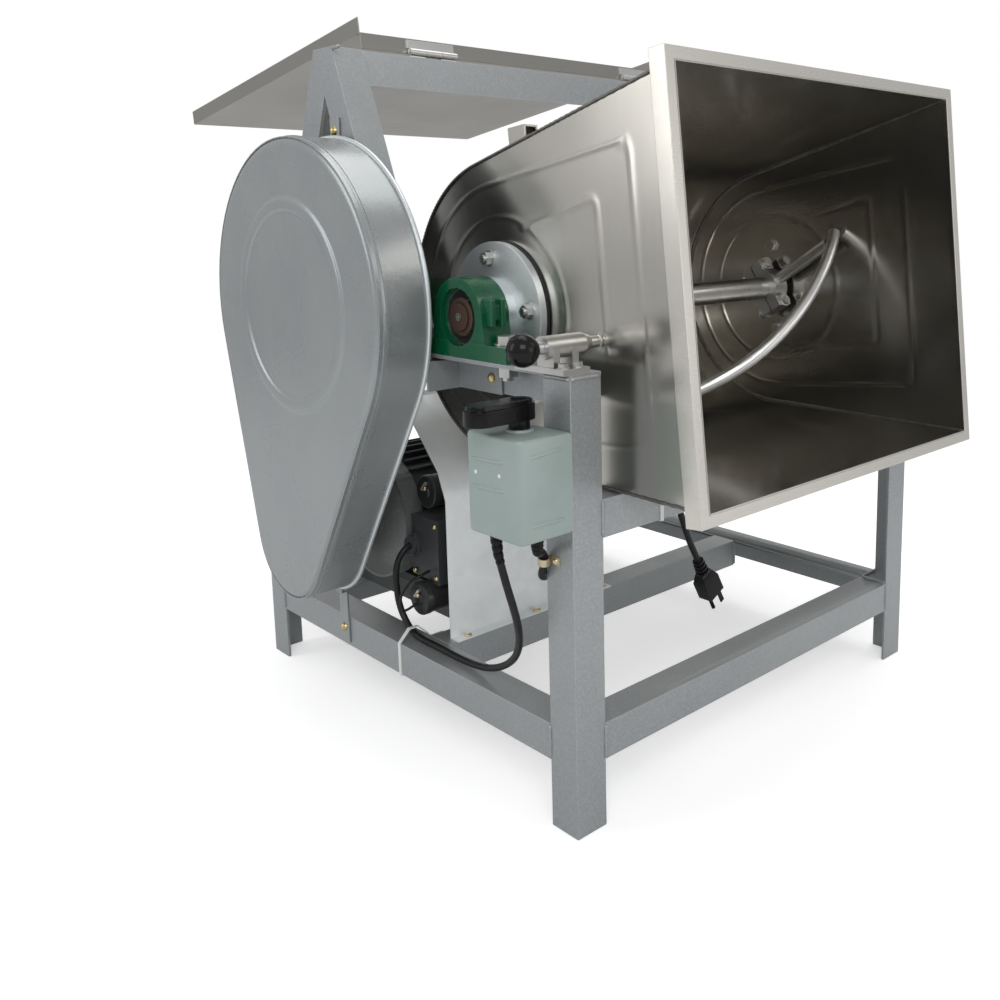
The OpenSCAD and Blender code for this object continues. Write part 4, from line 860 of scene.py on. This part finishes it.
def guard_reach(angle):
    off = abs((angle - guard_base + pi) % (2 * pi) - pi)
    if off >= guard_lean:
        return GUARD_R
    if off >= small_turn:
        return GUARD_R / cos(guard_lean - off)
    along = between.length * cos(off)
    return along + sqrt(along * along - between.length ** 2 + SMALL_R ** 2)


def guard_point(x, angle, far):
    return at(x, GUARD_C.x + far * cos(angle), GUARD_C.y + far * sin(angle))


INNER_RINGS = [0, 20, 40, 60, 80, 100, 105, 107.5, 109, 110, 111, 112.5, 114.5, 117, 119.5, 121.5, 123,
               124, 125, 126.5, 129]
RIM_STEPS = [(-12, 0), (-9, 0), (-7, 0.2), (-5, 0.7), (-3.4, 1.5), (-2, 2.7), (-0.9, 4.2), (-0.1, 6),
             (0.5, 8), (0.7, 10.5), (0.7, 12.5)]
bm = bmesh.new()
turns = around(GUARD_TURNS)
skins = []
for depth in (0.0, GUARD_SHEET):
    rays = []
    for turn_to in turns:
        ray = []
        reach = guard_reach(turn_to)
        steps = [(far, 0) for far in INNER_RINGS]
        flat = reach + RIM_STEPS[0][0] - INNER_RINGS[-1]
        steps += [(INNER_RINGS[-1] + flat * k / 12, 0) for k in range(1, 12)]
        steps += [(reach + far, drop) for far, drop in RIM_STEPS]
        for far, drop in steps:
            ring_edge = min(far - RING_FROM, RING_TO - far)
            lift = RING_LIFT * max(0, min(1, ring_edge / RING_SLOPE))
            wave = 0.5 * noise.noise(Vector((far * cos(turn_to) / 70, far * sin(turn_to) / 70, 7.7)))
            x = GUARD_FACE - lift + drop + wave * (1 if drop == 0 else 0) + depth
            ray.append(bm.verts.new(guard_point(x, turn_to, max(far - depth * min(drop, 1), 0.01))))
        rays.append(ray)
    skins.append(rays)
join_skins(bm, skins, (-1,))
bmesh.ops.remove_doubles(bm, verts=bm.verts, dist=0.00005)
bmesh.ops.recalc_face_normals(bm, faces=bm.faces)
front = finish_piece("guard_front_pressed", bm, "guard_grey", stands_for=("guard_front",), sharp=50)
bm = bmesh.new()
rim = [guard_point(-322.5, turn_to, guard_reach(turn_to) + 0.8) for turn_to in turns]
add_tube(bm, rim, 2.9 * MM, 10, True)
rolled = finish_piece("guard_rolled_rim", bm, "satin_zinc")
print(front.name, len(front.data.polygons), rolled.name)

# %% [markdown]
# Weld beads
# Short fillets were laid by hand where the rails meet the posts and where the lid stand meets the rails.

# %% Welds on the frame
WELDS = [
    ((-270, -330, 75), (-270, -330, 111)), ((-270, -330, 311), (-270, -330, 347)),
    ((-310, -290, 75), (-310, -290, 111)), ((-310, 290, 75), (-310, 290, 111)),
    ((-309, -330, 473), (-272, -330, 473)), ((-310, -329, 473), (-310, -292, 473)),
    ((-310, 292, 473), (-310, 329, 473)), ((-310, -58, 477.5), (-310, -18, 477.5)),
    ((-310, 220, 477.5), (-310, 260, 477.5)), ((-308, -59, 477.5), (-272, -59, 477.5)),
    ((-270, -57, 75), (-270, -57, 111)), ((-309, -290.5, 113.5), (-272, -290.5, 113.5)),
    ((-270.5, -328, 113.5), (-270.5, -292, 113.5)), ((-309, 62, 820), (-309, 80, 820)),
    ((-270, 330, 75), (-270, 330, 111)), ((-309, 330, 473), (-272, 330, 473)),
]
bm = bmesh.new()
for start, end in WELDS:
    for way in (1, -1):
        add_weld(bm, at(start[0] * way, *start[1:]), at(end[0] * way, *end[1:]))
welds = finish_piece("weld_beads", bm, "hammer_grey", sharp=70)
print(welds.name, len(welds.data.polygons))

# %% [markdown]
# Bearings
# Each insert is turned as it is made: a ground outer ring, a black rubber seal set back in it, and a
# longer inner ring that the shaft runs through. The seal's black is partly its rubber and partly painted
# shade for the recess. The inner rings have picked up rust.
# Each row gives a shaft's place in Y and Z, the radius of the outer ring and the radius of the bore.

# %% Bearing inserts
BEARINGS = [(AXIS_Y, AXIS_Z, 31, 15), (68.9, 513.5, 26, 12.5)]
BEARING_X = 290
rings, seals_rubber_and_painted_shade, inners = [bmesh.new() for _ in range(3)]


def both_ends(half):
    return half + [(-along, r) for along, r in half[::-1]]


for way in (-1, 1):
    for y, z, r, bore in BEARINGS:
        place = at(BEARING_X * way, y, z)
        profiles = (
            (rings, [(-9, r * 0.93), (-9, r - 0.8), (-8.2, r)]),
            (seals_rubber_and_painted_shade, [(-7.6, r * 0.6), (-8.1, r * 0.7), (-7.4, r * 0.78), (-9.1, r * 0.94)]),
            (inners, [(-14, bore + 0.4), (-14, r * 0.62), (-13.2, r * 0.66)]),
        )
        for bm, half in profiles:
            add_turned(bm, place, (1, 0, 0), both_ends(half), 64, closed=True)
        for way_x in (-1, 1):
            add_turned(inners, place + Vector((11 * way_x, 0, 0)) * MM, (0, -0.5, 0.86),
                       [(r * 0.6, 2.6), (r * 0.7, 2.6), (r * 0.7, 1.4), (r * 0.66, 1.3)], 16)
finish_piece("bearing_rings", rings, "bright_steel", stands_for=("bearing_inserts",))
# The seals are black rubber, and their black also paints the shade in the recess.
finish_piece("bearing_seals_rubber_and_painted_shade", seals_rubber_and_painted_shade, "rubber_black")
inner_rings = finish_piece("bearing_inner_rings", inners, "shaft_steel")
print(inner_rings.name)

# %% [markdown]
# The housings are castings with a lug on the drum for the grease channel, and the shaft keeps the small
# cone left by the lathe centre in its end.

# %% Lugs and the lathe centre
def add_block(bm, low, high):
    corners = [bm.verts.new(at(x, y, z)) for x in (low[0], high[0]) for y in (low[1], high[1])
               for z in (low[2], high[2])]
    for face in ((0, 1, 3, 2), (4, 6, 7, 5), (0, 4, 5, 1), (2, 3, 7, 6), (0, 2, 6, 4), (1, 5, 7, 3)):
        bm.faces.new([corners[k] for k in face])


bm = bmesh.new()
for way in (-1, 1):
    for low, high in (((-303, -203, 512), (-297, -186, 541)), ((-290, -203, 512), (-284, -186, 541)),
                      ((-300, -199, 518), (-287, -186, 535))):
        add_block(bm, (low[0] * -way, *low[1:]), (high[0] * -way, *high[1:]))
bmesh.ops.recalc_face_normals(bm, faces=bm.faces)
round_edges(bm, 1.8, 3)
finish_piece("block_lugs", bm, "block_green")
bm = bmesh.new()
for way in (-1, 1):
    add_tube(bm, [at(way * BEARING_X + 1.5 * k, -192.1, 526.5) for k in range(-12, 13)], 0.5 * MM, 6)
finish_piece("parting_lines", bm, "block_green")
for node, drum_top in (("pillow_block_left", 561.9), ("pillow_block_right", 561.9),
                       ("counter_blocks", 549.5)):
    bm = merged(node)
    bmesh.ops.bisect_plane(bm, geom=bm.verts[:] + bm.edges[:] + bm.faces[:], dist=0.00001,
                           plane_co=at(0, 0, drum_top), plane_no=(0, 0, 1), clear_outer=True)
    bmesh.ops.holes_fill(bm, edges=[e for e in bm.edges if e.is_boundary], sides=0)
    round_edges(bm, 2.0)
    finish_piece(node + "_made", bm, "block_green", stands_for=(node,))
bm = bmesh.new()
add_turned(bm, at(-306.1, AXIS_Y, AXIS_Z), (-1, 0, 0), [(0, 4.2), (0.9, 4.2), (0.9, 3.4), (0.2, 0.6)], 24)
finish_piece("lathe_centre", bm, "dark_iron", "mixer_shaft")

# %% [markdown]
# Clips, ties and small parts
# The solids of the ties and of the post clip are one sub-part. They are split here, because the clip is
# plated steel and the ties are pale nylon.

# %% Split the clips
CLIP_PLACE, CLIP_REACH = at(-315, -300, 290), 50 * MM


def clips_part(by_the_post):
    bm = merged("cable_clips")
    gone = [v for v in bm.verts if ((v.co - CLIP_PLACE).length < CLIP_REACH) != by_the_post]
    bmesh.ops.delete(bm, geom=gone, context="VERTS")
    return bm


post_clip, ties = clips_part(True), clips_part(False)
finish_piece("post_clip", post_clip, "clip_brass", stands_for=("cable_clips",))
made_ties = finish_piece("nylon_ties", ties, "nylon_white", stands_for=("cable_clips",))
bm = bmesh.new()
tail = [at(-186, -332.5, 336), at(-185, -334, 344), at(-183, -337, 352), at(-180, -341, 358)]
add_tube(bm, tail, 0.9 * MM, 6)
add_turned(bm, at(-188, -334, 329), (0, -1, 0), [(-2, 4), (-2, 4), (2.6, 4), (3, 3.4)], 4)
finish_piece("tie_head", bm, "nylon_white")
print(made_ties.name)

# %% [markdown]
# The switch is a deep-drawn steel box with round corners, two short ribs on each side seen here and two
# small rivets. The lock has a moulded ball on a plated pin.

# %% Switch box and lock
SWITCH_HANDLE = (-338.98, -289)
bm = bmesh.new()
add_block(bm, (-373.3, -330.3, 324), (-310.3, -247.7, 423.4))
bmesh.ops.recalc_face_normals(bm, faces=bm.faces)
stand = [e for e in bm.edges if abs((e.verts[0].co - e.verts[1].co).normalized().z) > 0.9
         and e.verts[0].co.x < at(-340, 0, 0).x]
bmesh.ops.bevel(bm, geom=stand, offset=7.2 * MM, segments=6, profile=0.5, affect="EDGES")
flat = [e for e in bm.edges if len(e.link_faces) == 2 and e.calc_face_angle(0) > radians(50)
        and abs(e.verts[0].co.z - e.verts[1].co.z) < 0.00001]
bmesh.ops.bevel(bm, geom=flat, offset=3.4 * MM, segments=3, profile=0.5, affect="EDGES")
for ends in (((-372.2, -256, 397.5), (-372.2, -309, 400.5)), ((-372.2, -256, 370.5), (-372.2, -309, 373)),
             ((-363, -329.2, 406.5), (-320, -329.2, 409.5)), ((-361, -329.2, 341), (-319, -329.2, 341))):
    ribs = [at(*ends[0]).lerp(at(*ends[1]), k / 10) for k in range(11)]
    add_tube(bm, ribs, [(1.2 if k in (0, 10) else 2.7) * MM for k in range(11)], 12)
add_turned(bm, at(*SWITCH_HANDLE, 420), (0, 0, 1), [(0, 13.5), (5, 13.5), (5.6, 13), (5.6, 11)], 32)
finish_piece("switch_box_made", bm, "switch_enamel", stands_for=("switch_box",), sharp=40)
bm = bmesh.new()
for y, z in ((-263.9, 385), (-300.1, 386.8)):
    add_dome(bm, at(-373, y, z), (-1, 0, 0), 2.2, 1.2)
finish_piece("switch_rivets", bm, "nylon_white")
bm = bmesh.new()
add_dome(bm, at(*SWITCH_HANDLE, 450), (0, 0, 1), 5, 1.4)
finish_piece("handle_screw", bm, "bright_steel", "switch_lever")
LOCK_LINE = at(-343, -302, 501.5)
bm = bmesh.new()
ball = [(-16 * cos(t), 16 * sin(t)) for t in around(48)[:20]]
add_turned(bm, LOCK_LINE, (1, 0, 0), ball + [(13.8, 8.6), (14, 8), (14, 6.2)], 48)
finish_piece("lock_knob", bm, "moulded_black", "lock", stands_for=("lock_plunger",))
bm = bmesh.new()
add_turned(bm, LOCK_LINE, (1, 0, 0), [(12, 6), (93.8, 6), (94.8, 5)], 32)
finish_piece("lock_pin", bm, "bright_steel", "lock", stands_for=("lock_plunger",))
bm = bmesh.new()
for x in (-240, -130, -12):
    add_dome(bm, at(x, -53, 114.8), (0, 0, 1), 5, 3.2)
finish_piece("shield_screws", bm, "yellow_zinc")
print("switch box and lock")

# %% [markdown]
# The capacitors have pressed end caps held by a strap and a screw, and thin wires loop from them and
# from the gland to the motor's terminal box.

# %% Motor fittings
bm, straps, screws, wires = [bmesh.new() for _ in range(4)]
for x, y, z in ((-276, -6, 159.5), (-256, 0, 290)):
    pressed_cap = [(-1.5, 17), (-2.2, 18.5), (-1.6, 20), (0, 20.8), (7, 20.8), (8, 20)]
    add_turned(bm, at(x, y, z), (1, 0, 0), pressed_cap, 48)
    add_turned(bm, at(x, y, z), (1, 0, 0), [(-3.4, 5), (-3.4, 6), (-1, 8)], 24)
    points = [at(x - 3.5, y + 3 * k, z + 9 - 3.5 * k) for k in range(-1, 3)]
    add_tube(straps, points, 2.2 * MM, 4)
    add_dome(screws, at(x - 4.2, y, z + 5), (-1, 0, 0), 3.4, 2)
loop = [at(*spot) for spot in ((-279, 0, 151.5), (-290, 10, 143.5), (-296, 6, 163.5),
                               (-292, -10, 185.5), (-282, -18, 193.5), (-266, -16, 195.5))]
smooth = []
for a, b, c, d in zip(loop[:1] + loop, loop, loop[1:], loop[2:] + loop[-1:]):
    for t in [k / 6 for k in range(6)]:
        smooth.append(0.5 * (2 * b + (c - a) * t + (2 * a - 5 * b + 4 * c - d) * t * t
                             + (3 * b - a - 3 * c + d) * t ** 3))
add_tube(wires, smooth, 1.7 * MM, 10)
for y, z in ((-24, 186), (-24, 252), (22, 186)):
    add_dome(screws, at(-264, y, z), (-1, 0, 0), 3.6, 2.2)
finish_piece("capacitor_caps", bm, "capacitor_grey")
finish_piece("capacitor_straps", straps, "satin_zinc")
finish_piece("motor_screws", screws, "yellow_zinc")
wire_piece = finish_piece("motor_wires", wires, "lead_black")
print(wire_piece.name)

# %% [markdown]
# The leads leave the switch through moulded reliefs that taper down to the lead, with grooves round them.

# %% Strain reliefs at the switch
bm = bmesh.new()
for route in (lead_route, motor_route):
    spots = [at(*spot) for spot in route[:4]]
    line = []
    for near, far in zip(spots, spots[1:]):
        line += [near.lerp(far, k / 8) for k in range(8)]
    line = line[:22]
    radii = [(7.2 - 2.6 * k / 21 - (0.7 if k % 4 == 3 else 0)) * MM for k in range(len(line))]
    add_tube(bm, line, radii, 20)
reliefs = finish_piece("switch_reliefs", bm, "moulded_black")
print(reliefs.name)

# %% [markdown]

# %% [markdown]
# Floor and light
# A pale floor and a soft even light, as in a studio. The world shows white to the camera and in
# reflections, while it lights the object at a lower level. Four large lamps give shape.

# %% Floor and lamps
floor_mesh = bmesh.new()
bmesh.ops.create_grid(floor_mesh, x_segments=1, y_segments=1, size=9)
floor_data = bpy.data.meshes.new("floor")
floor_mesh.to_mesh(floor_data)
floor_mesh.free()
floor = show("floor", floor_data)
pale = bpy.data.materials.new("pale_floor")
pale.use_nodes = True
tree = pale.node_tree
matt = tree.nodes["Principled BSDF"]
matt.inputs["Base Color"].default_value = (0.9, 0.9, 0.9, 1)
matt.inputs["Roughness"].default_value = 0.8
seen = node_in(tree, "LightPath").outputs["Is Camera Ray"]
glow = node_in(tree, "Emission", [("Strength", maths(tree, "MULTIPLY", seen, 0.45))])
both = node_in(tree, "AddShader", [(0, matt.outputs[0]), (1, glow.outputs[0])])
spot = node_in(tree, "TexCoord").outputs["Object"]
far = node_in(tree, "VectorMath", [(0, spot)], operation="LENGTH")
fade = maths(tree, "MULTIPLY", remap(tree, far.outputs["Value"], 0.9, 2.2), seen)
white = node_in(tree, "Emission", in_Strength=1.0)
blend_far = node_in(tree, "MixShader", [(0, fade), (1, both.outputs[0]), (2, white.outputs[0])])
tree.links.new(blend_far.outputs[0], tree.nodes["Material Output"].inputs[0])
floor_data.materials.append(pale)

world = bpy.data.worlds.new("studio")
bpy.context.scene.world = world
world.use_nodes = True
tree = world.node_tree
sky = tree.nodes["Background"]
sky.inputs["Color"].default_value = (1, 1, 1, 1)
rays = node_in(tree, "LightPath").outputs
seen = maths(tree, "MAXIMUM", rays["Is Camera Ray"], rays["Is Transmission Ray"])
glossy = maths(tree, "MULTIPLY", rays["Is Glossy Ray"], 0.58)
bright = maths(tree, "MAXIMUM", maths(tree, "MAXIMUM", seen, glossy), 0.5)
tree.links.new(bright, sky.inputs["Strength"])


def hang_lamp(name, place, size, power, aim=(0, 0, 0.45)):
    data = bpy.data.lights.new(name, "AREA")
    data.shape = "RECTANGLE"
    data.size, data.size_y = size
    data.energy = power
    lamp = show(name, data)
    lamp.location = place
    lamp.rotation_mode = "QUATERNION"
    lamp.rotation_quaternion = (Vector(aim) - Vector(place)).to_track_quat("-Z", "Y")


hang_lamp("front_lamp", (-1.9, -2.4, 2.3), (1.8, 1.4), 34)
hang_lamp("low_lamp", (0.9, -3.0, 0.9), (2.0, 1.4), 13)
hang_lamp("side_lamp", (-2.6, 1.2, 1.6), (1.2, 1.8), 15)
hang_lamp("top_lamp", (0.6, 0.2, 3.0), (2.2, 2.2), 28, aim=(0, 0, 0.4))
bpy.context.scene.view_settings.view_transform = "Standard"
print("lamps", len(bpy.data.lights))
